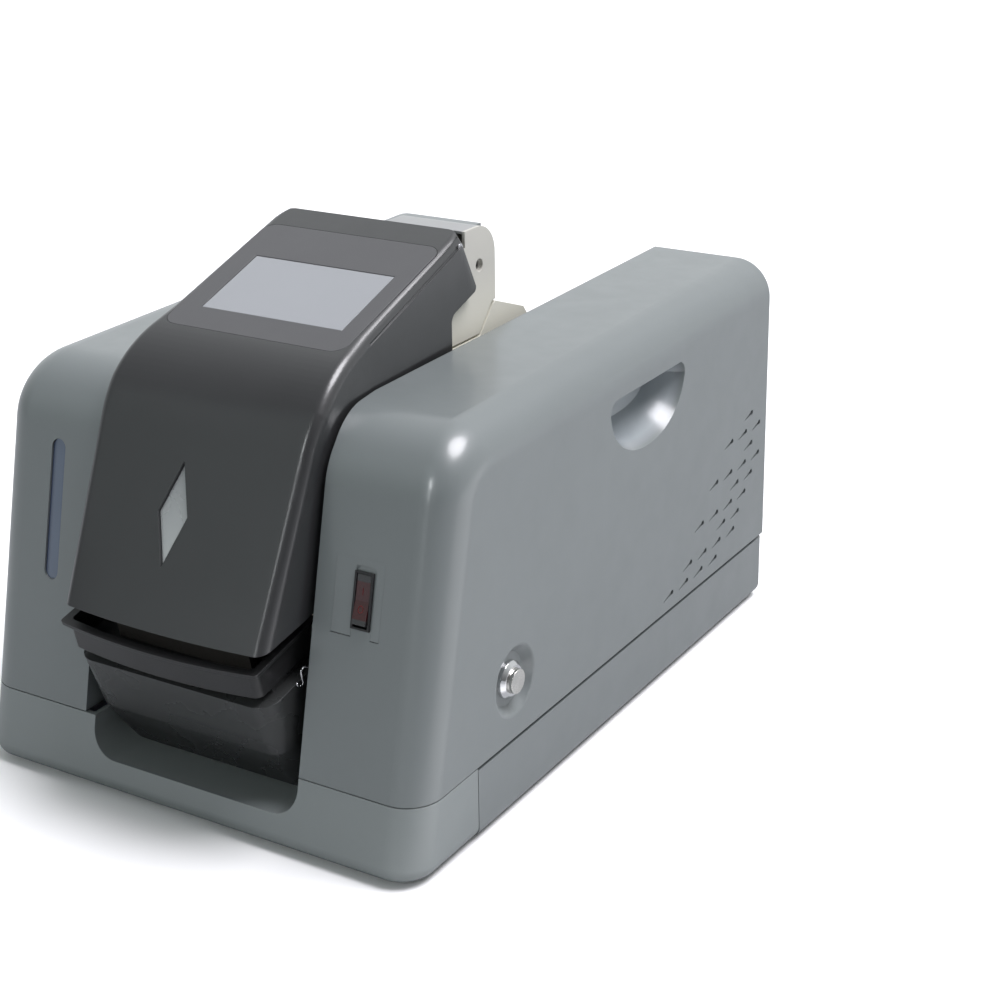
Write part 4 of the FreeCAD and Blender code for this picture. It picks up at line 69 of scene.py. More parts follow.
def make_camera():
    """Looks at the machine from ahead, from above and from its switch side."""
    level = math.cos(CAMERA_PITCH)
    forward = Vector((-math.sin(CAMERA_YAW) * level, math.cos(CAMERA_YAW) * level, -math.sin(CAMERA_PITCH)))
    right = forward.cross(UP).normalized()
    up = right.cross(forward).normalized()
    turned_right = right * math.cos(CAMERA_ROLL) + up * math.sin(CAMERA_ROLL)
    turned_up = up * math.cos(CAMERA_ROLL) - right * math.sin(CAMERA_ROLL)
    data = bpy.data.cameras.new("camera")
    data.sensor_width = CAMERA_SENSOR
    data.lens = CAMERA_LENS
    data.clip_end = CAMERA_REACH
    camera = bpy.data.objects.new("camera", data)
    turn = Matrix((turned_right, turned_up, -forward)).transposed().to_4x4()
    camera.matrix_world = Matrix.Translation(CAMERA_PLACE) @ turn
    scene.collection.objects.link(camera)
    scene.camera = camera


# Short calls for node trees


class Tree:
    """The nodes of a material or of the world."""

    def __init__(self, owner):
        owner.use_nodes = True
        self.owner = owner
        self.tree = owner.node_tree

    def add(self, kind, **settings):
        item = self.tree.nodes.new("ShaderNode" + kind)
        for key, value in settings.items():
            setattr(item, key, value)
        return item

    def put(self, value, socket):
        """Links another node's output to a socket, or sets the socket to a plain value."""
        if isinstance(value, bpy.types.NodeSocket):
            self.tree.links.new(value, socket)
        else:
            socket.default_value = value

    def math(self, operation, first, second=0.0):
        item = self.add("Math", operation=operation)
        self.put(first, item.inputs[0])
        self.put(second, item.inputs[1])
        return item.outputs[0]

    def vector(self, operation, first, second, result=0):
        item = self.add("VectorMath", operation=operation)
        self.put(first, item.inputs[0])
        self.put(second, item.inputs[1])
        return item.outputs[result]

    def fade(self, source, start, end, first=0.0, last=1.0):
        """Goes from the first value to the last one as the source goes from start to end."""
        item = self.add("MapRange")
        keys = ("Value", "From Min", "From Max", "To Min", "To Max")
        for key, value in zip(keys, (source, start, end, first, last)):
            self.put(value, item.inputs[key])
        return item.outputs["Result"]

    def mix(self, factor, first, second):
        item = self.add("Mix", data_type="RGBA")
        for key, value in (("Factor", factor), ("A", first), ("B", second)):
            self.put(value, item.inputs[key])
        return item.outputs["Result"]

    def axes(self, source):
        """The parts of a place or direction along X, Y and Z."""
        item = self.add("SeparateXYZ")
        self.put(source, item.inputs[0])
        return item.outputs

    def camera_ray(self):
        return self.add("LightPath").outputs["Is Camera Ray"]


# Lights

# The way each light travels, its strength, its spread in degrees (a wide one softens the shadows)
# and its colour
SUNS = {
    "key_light": ((-0.34, -0.20, -0.92), 3.5, 34, (1.0, 0.985, 1.03)),
    "fill_light": ((0.35, 0.85, -0.4), 0.30, 60, (0.88, 1.0, 0.98)),
}

# The soft sky: its strength ahead of and behind the machine, each reached where a direction's part
# along Y is SKY_ROUND
SKY_AHEAD = 0.0868
SKY_BEHIND = 0.837
SKY_ROUND = 0.6
SKY_TINT = (0.95, 0.985, 1.0, 1)

# Upright strips of light ahead of the machine: turn from straight ahead towards the switch side
# and half width, in degrees, lowest and highest share of the sky's height, strength
STRIPS = (
    (-1.0, 3.2, 0.10, 0.46, 5.0),
    (-1.0, 3.2, 0.46, 0.60, 24.0),
)

# Where a strip is still full and where it ends, as shares of its half width, and how much of its
# height is soft
STRIP_CORE = 0.5
STRIP_RIM = 1.5
STRIP_SOFT = 0.2


class Sky(Tree):
    """The light that comes from all round."""

    def __init__(self, name):
        super().__init__(bpy.data.worlds.new(name))
        self.tree.nodes.clear()
        self.x, self.y, self.z = self.axes(self.add("TexCoord").outputs["Generated"])

    def strip(self, turn, half, low, high, strength):
        """An upright light with soft borders."""
        azimuth = self.math("ARCTAN2", self.x, self.math("MULTIPLY", self.y, -1.0))
        apart = self.math("ABSOLUTE", self.math("SUBTRACT", azimuth, math.radians(turn)))
        core, rim = math.radians(half * STRIP_CORE), math.radians(half * STRIP_RIM)
        across = self.fade(apart, core, rim, strength, 0.0)
        soft = (high - low) * STRIP_SOFT
        rise = self.fade(self.z, low - soft, low + soft)
        drop = self.fade(self.z, high - soft, high + soft, 1.0, 0.0)
        return self.math("MULTIPLY", across, self.math("MULTIPLY", rise, drop))

    def background(self, colour, strength):
        item = self.add("Background")
        self.put(colour, item.inputs["Color"])
        self.put(strength, item.inputs["Strength"])
        return item.outputs[0]


def make_sky():
    """Bright behind, dim ahead, two strips for the reflections, and plain white to the camera."""
    sky = Sky("studio")
    level = sky.fade(sky.y, -SKY_ROUND, SKY_ROUND, SKY_AHEAD, SKY_BEHIND)
    for facts in STRIPS:
        level = sky.math("ADD", level, sky.strip(*facts))
    mix = sky.add("MixShader")
    sky.put(sky.camera_ray(), mix.inputs[0])
    sky.put(sky.background(SKY_TINT, level), mix.inputs[1])
    sky.put(sky.background(WHITE, 1.0), mix.inputs[2])
    sky.put(mix.outputs[0], sky.add("OutputWorld").inputs[0])
    scene.world = sky.owner


def make_suns():
    for name, (towards, strength, spread, colour) in SUNS.items():
        data = bpy.data.lights.new(name, "SUN")
        data.energy = strength
        data.angle = math.radians(spread)
        data.color = colour
        light = bpy.data.objects.new(name, data)
        light.rotation_euler = Vector(towards).to_track_quat("-Z", "Y").to_euler()
        scene.collection.objects.link(light)


# Finishes

# How far the rounded normal leans from the flat one, as a cosine, where an edge starts to look
# worn and where it is fully so, and how many samples round it
EDGE_START = 0.97
EDGE_FULL = 0.75
EDGE_SAMPLES = 6

# Turned grooves: radians of their wave in a metre, which puts one every 0.45 mm
GROOVES = 14000.0


class Finish(Tree):
    """The nodes of a material, in front of its shader."""

    def __init__(self, name):
        super().__init__(bpy.data.materials.new(name))
        self.shader = self.tree.nodes["Principled BSDF"]
        self.place = None

    def coordinates(self):
        if self.place is None:
            self.place = self.add("TexCoord").outputs["Object"]
        return self.place

    def noise(self, scale, detail, stretch=None):
        item = self.add("TexNoise")
        item.inputs["Scale"].default_value = scale
        item.inputs["Detail"].default_value = detail
        place = self.coordinates()
        if stretch:
            mapping = self.add("Mapping")
            mapping.inputs["Scale"].default_value = stretch
            self.put(place, mapping.inputs["Vector"])
            place = mapping.outputs["Vector"]
        self.put(place, item.inputs["Vector"])
        return item.outputs["Fac"]

    def ramp(self, source, low, high, low_at=0.3, high_at=0.7):
        item = self.add("ValToRGB")
        first, last = item.color_ramp.elements
        first.position, last.position = low_at, high_at
        first.color, last.color = low, high
        self.put(source, item.inputs["Fac"])
        return item.outputs["Color"]

    def edges(self, radius):
        """A normal that is rounded over the edges, and a mask that is one on them."""
        bevel = self.add("Bevel", samples=EDGE_SAMPLES)
        bevel.inputs["Radius"].default_value = radius
        rounded = bevel.outputs["Normal"]
        flat = self.add("NewGeometry").outputs["Normal"]
        match = self.vector("DOT_PRODUCT", rounded, flat, "Value")
        return rounded, self.fade(match, EDGE_START, EDGE_FULL)

    def rings(self, centre):
        """Fine turned grooves round an axis along X through the centre given."""
        apart = self.vector("SUBTRACT", self.coordinates(), centre)
        flat = self.vector("MULTIPLY", apart, (0, 1, 1))
        reach = self.add("VectorMath", operation="LENGTH")
        self.put(flat, reach.inputs[0])
        wave = self.math("SINE", self.math("MULTIPLY", reach.outputs["Value"], GROOVES))
        return self.math("ADD", self.math("MULTIPLY", wave, 0.5), 0.5)

    def along(self, direction, low, high):
        """How far a point lies along a direction, as a share of the way from low to high."""
        return self.fade(self.vector("DOT_PRODUCT", self.coordinates(), direction, "Value"), low, high)

    def bump(self, source, strength, distance, onto):
        item = self.add("Bump")
        item.inputs["Strength"].default_value = strength
        item.inputs["Distance"].default_value = distance
        self.put(source, item.inputs["Height"])
        self.put(onto, item.inputs["Normal"])
        return item.outputs["Normal"]

    def tint(self, factor, colour):
        """Mixes another colour into the finish's own one."""
        base = self.shader.inputs["Base Color"]
        self.put(self.mix(factor, base.links[0].from_socket, colour), base)


def rgba(colour, share=1.0):
    return tuple(min(1.0, part * share) for part in colour[:3]) + (1.0,)


def grey(value):
    return value, value, value, 1


# Wear comes in patches, and takes a colour part of the way to a paler one; on the tray the same paler edge is
# also a painted highlight along the rim
WEAR_GRAIN = 90.0
WEAR_LEAST = 0.2
WORN_SHARE = 0.3
WORN_LEAST = 0.3
WORN_GAIN = 1.25
RELIEF_DEPTH = 0.4 * MM
COAT_ROUGH = 0.2


def surface(name, colour, rough, vary=0.04, grain=1800.0, relief=0.06, metallic=0.0, brushed=None,
            coat=0.0, blotch=14.0, rough_vary=0.05, edge=0.6 * MM, wear_and_sheen=0.25, rings=None):
    """A finish with blotches in its colour and gloss, fine relief, and softened, slightly worn edges, which
    on the tray also paint the highlight along its rim.
    """
    finish = Finish(name + "_finish")
    shader = finish.shader
    blotches = finish.ramp(finish.noise(blotch, 4.0), rgba(colour, 1 - vary), rgba(colour, 1 + vary))
    soft, worn_and_sheen = finish.edges(edge)
    patches = finish.ramp(finish.noise(WEAR_GRAIN, 5.0), grey(WEAR_LEAST), WHITE, 0.4, 0.6)
    # Paler edges: wear, and on the tray a painted highlight
    patchy = finish.math("MULTIPLY", finish.math("MULTIPLY", worn_and_sheen, patches), wear_and_sheen)
    paler = [part * (1 - WORN_SHARE) + WORN_SHARE * max(WORN_LEAST, part) for part in colour]
    finish.put(finish.mix(patchy, blotches, rgba(paler, WORN_GAIN)), shader.inputs["Base Color"])
    dull = finish.noise(blotch * 3, 3.0)
    gloss = finish.ramp(dull, grey(rough - rough_vary), grey(rough + rough_vary))
    finish.put(gloss, shader.inputs["Roughness"])
    fine = finish.rings(rings) if rings else finish.noise(grain, 2.0, brushed)
    finish.put(finish.bump(fine, relief, RELIEF_DEPTH, soft), shader.inputs["Normal"])
    shader.inputs["Metallic"].default_value = metallic
    if coat:
        shader.inputs["Coat Weight"].default_value = coat
        shader.inputs["Coat Roughness"].default_value = COAT_ROUGH
    return finish


# How much of the painted light and shade takes the place of a finish's own colour
PAINTED_LIGHT_SHARE = 0.85


def paint_light_along(finish, direction, low, high, first, last):
    """Paints light and shade into a finish, from one colour to another along a direction."""
    share = finish.along(direction, low, high)
    finish.tint(PAINTED_LIGHT_SHARE, finish.ramp(share, rgba(first), rgba(last), 0.0, 1.0))


# Finishes that need nothing more: colour, roughness, and what differs from surface's own values
PLAIN = {
    # The front skirt's grey is paler than the covers' to paint in the light the floor throws onto the base's
    # front
    "skirt": ((0.205, 0.226, 0.226), 0.40, dict(vary=0.02, grain=2400, relief=0.03, coat=0.6, wear_and_sheen=0.12)),
    "panel": ((0.175, 0.188, 0.192), 0.42, dict(vary=0.025, grain=2200, relief=0.05, wear_and_sheen=0.15)),
    "hood": ((0.026, 0.0265, 0.028), 0.40, dict(vary=0.06, grain=2600, wear_and_sheen=0.12, coat=0.7)),
    "overlay": ((0.083, 0.083, 0.087), 0.34, dict(vary=0.03, grain=3000, relief=0.03, wear_and_sheen=0.10)),
    "black": ((0.014, 0.014, 0.015), 0.34, dict(vary=0.08, grain=2200, relief=0.08, wear_and_sheen=0.10)),
    # The tray's strong edge wear also paints the bright highlight along its rim
    "tray": ((0.021, 0.021, 0.022), 0.33, dict(vary=0.05, grain=1200, relief=0.01, wear_and_sheen=0.5, edge=0.4 * MM)),
    "head": ((0.33, 0.335, 0.335), 0.42, dict(vary=0.02, grain=2400, wear_and_sheen=0.10)),
    "steel": ((0.46, 0.46, 0.475), 0.34,
              dict(vary=0.06, grain=900, relief=0.10, metallic=1.0, brushed=(1, 0.03, 0.03))),
    "bright": ((0.62, 0.62, 0.64), 0.22,
               dict(grain=900, relief=0.05, metallic=1.0, brushed=(0.03, 1, 1))),
    "chrome": ((0.70, 0.70, 0.71), 0.12,
               dict(vary=0.02, metallic=1.0, rough_vary=0.02, relief=0.03, rings=BUTTON)),
    "rod": ((0.66, 0.66, 0.68), 0.12, dict(vary=0.02, grain=600, relief=0.02, metallic=1.0, rough_vary=0.02)),
    "aluminium": ((0.58, 0.58, 0.60), 0.32, dict(grain=1200, relief=0.08, metallic=1.0)),
    "dark_steel": ((0.15, 0.15, 0.16), 0.38, dict(vary=0.08, grain=1200, relief=0.10, metallic=1.0)),
    "rubber": ((0.018, 0.018, 0.018), 0.72, dict(vary=0.10, grain=1500, relief=0.25)),
    "drive_rubber": ((0.055, 0.052, 0.05), 0.62, dict(vary=0.12, grain=1400, relief=0.35)),
    "white": ((0.66, 0.66, 0.63), 0.40, dict(vary=0.03, grain=2000)),
    "tank": ((0.62, 0.68, 0.74), 0.30, dict(grain=1600)),
    "board": ((0.012, 0.09, 0.035), 0.30, dict(vary=0.10, grain=800)),
    "bristle": ((0.05, 0.045, 0.04), 0.75, dict(vary=0.3, grain=1500, relief=0.5, brushed=(1, 1, 0.05))),
    "screen": ((0.29, 0.30, 0.32), 0.14, dict(vary=0.02, grain=400, relief=0.0, coat=0.6, wear_and_sheen=0.0)),
    "hose": ((0.55, 0.58, 0.60), 0.28, dict(grain=500, relief=0.04)),
    "mark": ((0.13, 0.010, 0.010), 0.35, dict(vary=0.05, grain=900, relief=0.02, wear_and_sheen=0.0)),
    "plate": ((0.160, 0.178, 0.180), 0.36, dict(vary=0.02, grain=2400, relief=0.02, coat=0.9, wear_and_sheen=0.0)),
}

# Where the painted light in the hollows of the grips starts and where it is full; X counts to both sides
GRIP_LIMITS = (
    ("X", 0.1515, 0.146), ("X", 0.120, 0.124),
    ("Y", -0.012, -0.004), ("Y", 0.112, 0.104),
    ("Z", 0.150, 0.156), ("Z", 0.222, 0.214),
)
# The paler grey painted into the grips' hollows for the light that falls into them
GRIP_PAINTED_LIGHT = (0.30, 0.33, 0.35, 1)

# Shares of the level window's width where its painted shade, that of the slot's deep side wall, ends and
# where its blue is full
LEVEL_SHADE = 0.12
LEVEL_PALE = 0.35

# The red share of the rocker's height, and the colour of its ends
ROCKER_RED = 0.72
ROCKER_ENDS = (0.030, 0.029, 0.031, 1)


def casing_finish():
    """The covers' grey, with painted light making the hollows of the grips a shade paler."""
    finish = surface("casing", (0.160, 0.178, 0.180), 0.40, vary=0.02, grain=2400, relief=0.03, coat=0.8,
                     wear_and_sheen=0.12)
    axes = finish.axes(finish.coordinates())
    share = 1.0
    for axis, start, end in GRIP_LIMITS:
        place = finish.math("ABSOLUTE", axes["X"]) if axis == "X" else axes[axis]
        share = finish.math("MULTIPLY", share, finish.fade(place, start, end))
    # Paints light into the hollows of the grips
    finish.tint(share, GRIP_PAINTED_LIGHT)
    return finish


def chute_finish():
    """Black with painted shade low down and painted light that makes it paler towards the chute's top."""
    finish = surface("chute", (0.030, 0.030, 0.031), 0.28, vary=0.05, grain=1200, relief=0.0, wear_and_sheen=0.2,
                     edge=0.4 * MM)
    # Painted shade low on the chute, painted light towards its top
    paint_light_along(finish, UP, 0.040, 0.066, (0.010, 0.010, 0.011), (0.046, 0.048, 0.048))
    return finish


def beige_finish():
    """Plates in beige paint, with painted light, the bounce off the cover below, making them paler lower
    down.
    """
    finish = surface("beige", (0.56, 0.545, 0.485), 0.45, vary=0.03, grain=2400, wear_and_sheen=0.10)
    # Painted light from the cover's bounce, paler towards the plates' lower part
    paint_light_along(finish, -UP, -0.272, -0.238, (0.54, 0.53, 0.49), (0.80, 0.78, 0.68))
    return finish


def cap_finish():
    """The button's turned metal, whose shine stretches across the grooves."""
    finish = surface("cap", (0.66, 0.65, 0.62), 0.24, vary=0.03, metallic=1.0, relief=0.05, rings=BUTTON)
    finish.shader.inputs["Anisotropic"].default_value = 0.75
    turned = finish.add("Tangent", direction_type="RADIAL", axis="X")
    finish.put(turned.outputs["Tangent"], finish.shader.inputs["Tangent"])
    return finish


def window_finish():
    """The hood's lens, with painted light making it paler low down and towards the switch side."""
    finish = surface("window", (0.27, 0.28, 0.285), 0.26, grain=2400, relief=0.03, metallic=0.35, wear_and_sheen=0.1)
    # Painted light across the lens, paler low down and towards the switch side
    paint_light_along(finish, (0.5, 0, -0.87), -0.175, -0.13, (0.34, 0.35, 0.355), (0.60, 0.62, 0.62))
    return finish


def level_finish():
    """The level window's blue, with painted shade along its outer border, where the slot is deepest."""
    finish = surface("level", (0.085, 0.11, 0.17), 0.16, vary=0.06, grain=300, relief=0.02, coat=0.6,
                     wear_and_sheen=0.0)
    low, high = (corner[0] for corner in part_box("level_window"))
    shade_end, pale_start = (low + (high - low) * share for share in (LEVEL_SHADE, LEVEL_PALE))
    # Painted shade of the slot's deep side wall, fading into the lens's blue
    paint_light_along(finish, (1, 0, 0), shade_end, pale_start, (0.006, 0.014, 0.055), (0.115, 0.145, 0.20))
    return finish


def rocker_finish():
    """Dark red, and black at the rocker's two ends."""
    finish = surface("red", (0.040, 0.003, 0.004), 0.24, vary=0.10, grain=500, relief=0.02, coat=0.6,
                     wear_and_sheen=0.0)
    low, high = (corner[2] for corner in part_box("switch_rocker"))
    height = finish.axes(finish.coordinates())["Z"]
    apart = finish.math("ABSOLUTE", finish.math("SUBTRACT", height, (low + high) / 2))
    ends = finish.math("GREATER_THAN", apart, (high - low) / 2 * ROCKER_RED)
    finish.tint(ends, ROCKER_ENDS)
    return finish


def make_finishes():
    made = {name: surface(name, colour, rough, **more) for name, (colour, rough, more) in PLAIN.items()}
    made["casing"] = casing_finish()
    made["chute"] = chute_finish()
    made["beige"] = beige_finish()
    made["cap"] = cap_finish()
    made["window"] = window_finish()
    made["level"] = level_finish()
    made["red"] = rocker_finish()
    return made


NODE_FINISH = {
    "casing": ("right_cover", "left_cover", "rear_skirt"),
    "skirt": ("front_skirt",),
    "panel": ("rear_panel",),
    "hood": ("hood_shell",),
    "overlay": ("display_overlay",),
    "screen": ("touch_screen",),
    "window": ("hood_window",),
    "tray": ("outlet_tray",),
    "chute": ("outlet_chute",),
    "black": ("switch_body", "fan_frame", "fan_impeller", "tank_cap", "mains_inlet", "guide_roller"),
    "beige": ("frame_plate_right", "frame_plate_left", "head_plate_right", "head_plate_left"),
    "head": ("head_cover",),
    "steel": ("base_pan", "tape_bay", "tape_guides", "cutter_bridge", "pressure_arms", "motor_bracket",
              "frame_ties"),
    "bright": ("feed_shaft", "arm_pivot_rod", "lower_blade", "upper_blade", "blade_carrier", "hinge_pins",
               "feed_bearings", "pressure_roller"),
    "cap": ("button_cap",),
    "chrome": ("button_bezel",),
    "rod": ("guide_rod", "blade_guide_rods"),
    "aluminium": ("cutter_bed", "feed_pulley", "motor_pulley", "power_supply"),
    "dark_steel": ("feed_motor", "cutter_solenoid"),
    "rubber": ("timing_belt", "feet"),
    "drive_rubber": ("feed_roller",),
    "white": ("front_bay_roller", "rear_bay_roller", "left_tape_guide", "right_tape_guide"),
    "tank": ("water_tank",),
    "board": ("control_board",),
    "bristle": ("brushes",),
    "red": ("switch_rocker",),
    "level": ("level_window",),
    "hose": ("water_hose",),
}


def finish_nodes(made):
    for finish, names in NODE_FINISH.items():
        for name in names:
            slots = nodes[name].data.materials
            if not slots:
                slots.append(made[finish].owner)
            for number in range(len(slots)):
                slots[number] = made[finish].owner


# The floor

FLOOR_HALF = 20
FLOOR_ROUGH = 0.7
FLOOR_SEEN = (0.95, 0.95, 0.95, 1)
BOUNCE_DULL = (0.38, 0.39, 0.40, 1)

# The pale patch of the bounce: a place on its slanted border and that border's slope, how soft
# the border is, and where ahead of the machine the patch starts and is full
PATCH_X = 0.15
PATCH_Y = -0.19
PATCH_SLOPE = 1.3
PATCH_SOFT = 0.06
PATCH_START = -0.36
PATCH_FULL = -0.16


def bounce(floor):
    """The colour that throws light back: dull, but pale in a patch that lights the front corner."""
    x, y, _ = floor.axes(floor.coordinates())
    slant = floor.math("MULTIPLY", floor.math("SUBTRACT", x, PATCH_X), PATCH_SLOPE)
    reach = floor.math("SUBTRACT", slant, floor.math("SUBTRACT", y, PATCH_Y))
    patch = floor.math("MULTIPLY", floor.fade(reach, 0.0, PATCH_SOFT), floor.fade(y, PATCH_START, PATCH_FULL))
    return floor.mix(patch, BOUNCE_DULL, WHITE)


def make_floor():
    """Pale where it is seen, but it throws less light back, as the floor of a far larger room would."""
    mesh = bpy.data.meshes.new("floor")
    corners = [(x * FLOOR_HALF, y * FLOOR_HALF, 0) for x, y in ((-1, -1), (1, -1), (1, 1), (-1, 1))]
    mesh.from_pydata(corners, [], [(0, 1, 2, 3)])
    floor = bpy.data.objects.new("floor", mesh)
    scene.collection.objects.link(floor)
    finish = Finish("floor_pale")
    finish.shader.inputs["Roughness"].default_value = FLOOR_ROUGH
    shown = finish.mix(finish.camera_ray(), bounce(finish), FLOOR_SEEN)
    finish.put(shown, finish.shader.inputs["Base Color"])
    mesh.materials.append(finish.owner)


# Pieces that take the place of a node, or add to one

# How close points are merged and cuts snap to points, and the angle from which an edge is a crease
MERGE = MM / 1000
CUT_SNAP = MM / 100
CREASE = math.radians(32)


def smooth_by_angle(work):
    """Smooth faces, with a crease wherever two of them meet at a sharp angle."""
    for face in work.faces:
        face.smooth = True
        face.material_index = 0
    for edge in work.edges:
        edge.smooth = len(edge.link_faces) == 2 and edge.calc_face_angle(0) < CREASE


def piece_from(work, name, finish, body):
    """Turns a form into a piece of a body, in one finish."""
    bmesh.ops.recalc_face_normals(work, faces=work.faces)
    smooth_by_angle(work)
    mesh = bpy.data.meshes.new(name)
    work.to_mesh(mesh)
    work.free()
    if "custom_normal" in mesh.attributes:
        mesh.attributes.remove(mesh.attributes["custom_normal"])
    mesh.materials.clear()
    mesh.materials.append(finish.owner)
    item = bpy.data.objects.new(name, mesh)
    scene.collection.objects.link(item)
    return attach(item, body)


def merged_copy(node):
    work = bmesh.new()
    work.from_mesh(nodes[node].data)
    bmesh.ops.remove_doubles(work, verts=work.verts, dist=MERGE)
    return work


def slice_at(work, axis, places):
    """Adds edges where planes square to an axis pass through."""
    for place in places:
        spot = Vector()
        normal = Vector()
        spot[axis] = place
        normal[axis] = 1
        every = work.verts[:] + work.edges[:] + work.faces[:]
        bmesh.ops.bisect_plane(work, geom=every, plane_co=spot, plane_no=normal, dist=CUT_SNAP)


# The hood's bow, the slices that let it bend, its half width, its knee's height and its front
HOOD_BOW = 4.5 * MM
HOOD_SLICES = 12
HOOD_HALF = 69 * MM
HOOD_KNEE_Z = 248 * MM
HOOD_FRONT_Y = -100 * MM

# The rear corners of its top: the top's slope, the size of the round, how deep it fades out, how
# many cuts it gets and how near the cut faces are, and where the corners stand
HOOD_SLOPE = math.radians(18.47)
HOOD_CORNER = 12 * MM
HOOD_CORNER_DEPTH = 14 * MM
HOOD_CORNER_CUTS = 6
HOOD_CORNER_AREA = 3 * HOOD_CORNER
HOOD_REAR_HALF = 64.8 * MM
HOOD_REAR_Y = -11.4 * MM
HOOD_REAR_Z = 298.9 * MM

# Shares of the round past which a point is not moved, and the power of the fade
ASIDE_MOST = 1.01
BACK_MOST = 1.2
CORNER_FADE = 1.5


def drawn_in(share):
    """The share by which one side shrinks as a square turns into a disc, from the place along the other."""
    return 1 - math.sqrt(1 - share * share / 2)


def cut_near(work, corner, ahead, place, normal):
    """Cuts the faces near the hood's rear with a plane, and leaves the rest whole."""
    part = set()
    for face in work.faces:
        if (face.calc_center_median() - corner).dot(ahead) < HOOD_CORNER_AREA:
            part.add(face)
            part.update(face.edges)
            part.update(face.verts)
    bmesh.ops.bisect_plane(work, geom=list(part), plane_co=place, plane_no=normal, dist=CUT_SNAP)


def round_rear_corners(work):
    """Draws the two rear corners of the hood's top in to a round, and fades that out below."""
    ahead = Vector((0, -math.cos(HOOD_SLOPE), -math.sin(HOOD_SLOPE)))
    down = Vector((0, math.sin(HOOD_SLOPE), -math.cos(HOOD_SLOPE)))
    corner = Vector((0, HOOD_REAR_Y, HOOD_REAR_Z))
    start = HOOD_REAR_HALF - HOOD_CORNER
    steps = [HOOD_CORNER * number / HOOD_CORNER_CUTS for number in range(HOOD_CORNER_CUTS + 1)]
    for step in steps:
        cut_near(work, corner, ahead, corner + ahead * step, ahead)
    for step in steps:
        for sign in (-1, 1):
            cut_near(work, corner, ahead, Vector((sign * (start + step), 0, 0)), (1, 0, 0))
    for vertex in work.verts:
        away = vertex.co - corner
        forward, deep = away.dot(ahead), away.dot(down)
        aside = (abs(vertex.co.x) - start) / HOOD_CORNER
        back = 1 - forward / HOOD_CORNER
        if not (0 < aside <= ASIDE_MOST and 0 < back <= BACK_MOST):
            continue
        fade = 1 - min(1.0, max(0.0, deep / HOOD_CORNER_DEPTH)) ** CORNER_FADE
        aside, back = min(aside, 1.0), min(back, 1.0)
        vertex.co.x -= math.copysign(aside * drawn_in(back) * HOOD_CORNER * fade, vertex.co.x)
        vertex.co += ahead * (back * drawn_in(aside) * HOOD_CORNER * fade)


def bowed_hood(made):
    """The hood with a front that bows across, most at its lower edge and not at all at its knee."""
    low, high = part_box("hood_shell")
    work = merged_copy("hood_shell")
    steps = [number / HOOD_SLICES for number in range(1, HOOD_SLICES)]
    slice_at(work, 0, [low.x + (high.x - low.x) * step for step in steps])
    slice_at(work, 2, [low.z + (HOOD_KNEE_Z - low.z) * step for step in steps])
    for vertex in work.verts:
        share = min(1.0, max(0.0, (HOOD_KNEE_Z - vertex.co.z) / (HOOD_KNEE_Z - low.z)))
        if vertex.co.y < HOOD_FRONT_Y:
            vertex.co.y += HOOD_BOW * (vertex.co.x / HOOD_HALF) ** 2 * share
    round_rear_corners(work)
    hood = piece_from(work, "hood_bowed", made["hood"], "hood")
    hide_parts("hood_shell")


def close_rows(work, rows):
    """Faces between each row of points and the next one, all the way round."""
    for near, far in zip(rows, rows[1:]):
        for step in range(len(near)):
            after = (step + 1) % len(near)
            work.faces.new((near[step], near[after], far[after], far[step]))


# The small wire hook in the gap beside the tray, from its root in the cover to its tip, in millimetres
HOOK = ((75.5, -188.6, 104.6), (71.6, -188.4, 104.4), (70.2, -188.9, 103.2),
        (70.0, -190.2, 101.3), (70.0, -189.6, 97.6), (70.0, -189.0, 94.6),
        (70.0, -190.6, 93.2), (70.0, -193.2, 94.4), (70.0, -194.4, 96.8))
HOOK_RADIUS = 0.65 * MM
HOOK_SIDES = 10
HOOK_STEPS = 6

# A direction that no stretch of the hook runs along
LEANING = Vector((0.3, 0.2, 0.93))


def tube_along(work, path, radius):
    """A round rod through the points of a path, closed at both ends."""
    turns = [math.tau * step / HOOK_SIDES for step in range(HOOK_SIDES)]
    rings = []
    for number, spot in enumerate(path):
        ahead = path[min(number + 1, len(path) - 1)] - path[max(number - 1, 0)]
        ahead.normalize()
        across = ahead.cross(LEANING).normalized()
        third = ahead.cross(across)
        ring = [work.verts.new(spot + (across * math.cos(t) + third * math.sin(t)) * radius) for t in turns]
        rings.append(ring)
    close_rows(work, rings)
    work.faces.new(rings[0])
    work.faces.new(rings[-1])


def curve_through(points):
    """A smooth path through the points."""
    path = []
    for number in range(len(points) - 1):
        before = points[max(number - 1, 0)]
        start, end = points[number], points[number + 1]
        after = points[min(number + 2, len(points) - 1)]
        for step in range(HOOK_STEPS):
            t = step / HOOK_STEPS
            path.append(
                (start * 2 + (end - before) * t + (before * 2 - start * 5 + end * 4 - after) * t * t
                 + (start * 3 - before - end * 3 + after) * t ** 3) / 2
            )
    return path + [points[-1]]


def wire_hook(made):
    work = bmesh.new()
    tube_along(work, curve_through([Vector(spot) * MM for spot in HOOK]), HOOK_RADIUS)
    piece_from(work, "wire_hook", made["rod"], "casing")


def skin_of(node):
    """The faces of a node, ready for rays."""
    mesh = nodes[node].data
    corners = [vertex.co.copy() for vertex in mesh.vertices]
    return BVHTree.FromPolygons(corners, [tuple(face.vertices) for face in mesh.polygons])


# Rays start well ahead of the machine and go straight back
RAY_START_Y = -1
RAY_WAY = Vector((0, 1, 0))


def cast(skin, x, z, out):
    """The point of a surface seen from ahead at a place across and up, lifted off it."""
    spot, normal, _, _ = skin.ray_cast(Vector((x, RAY_START_Y, z)), RAY_WAY)
    return spot + normal * (out if normal.y < 0 else -out)


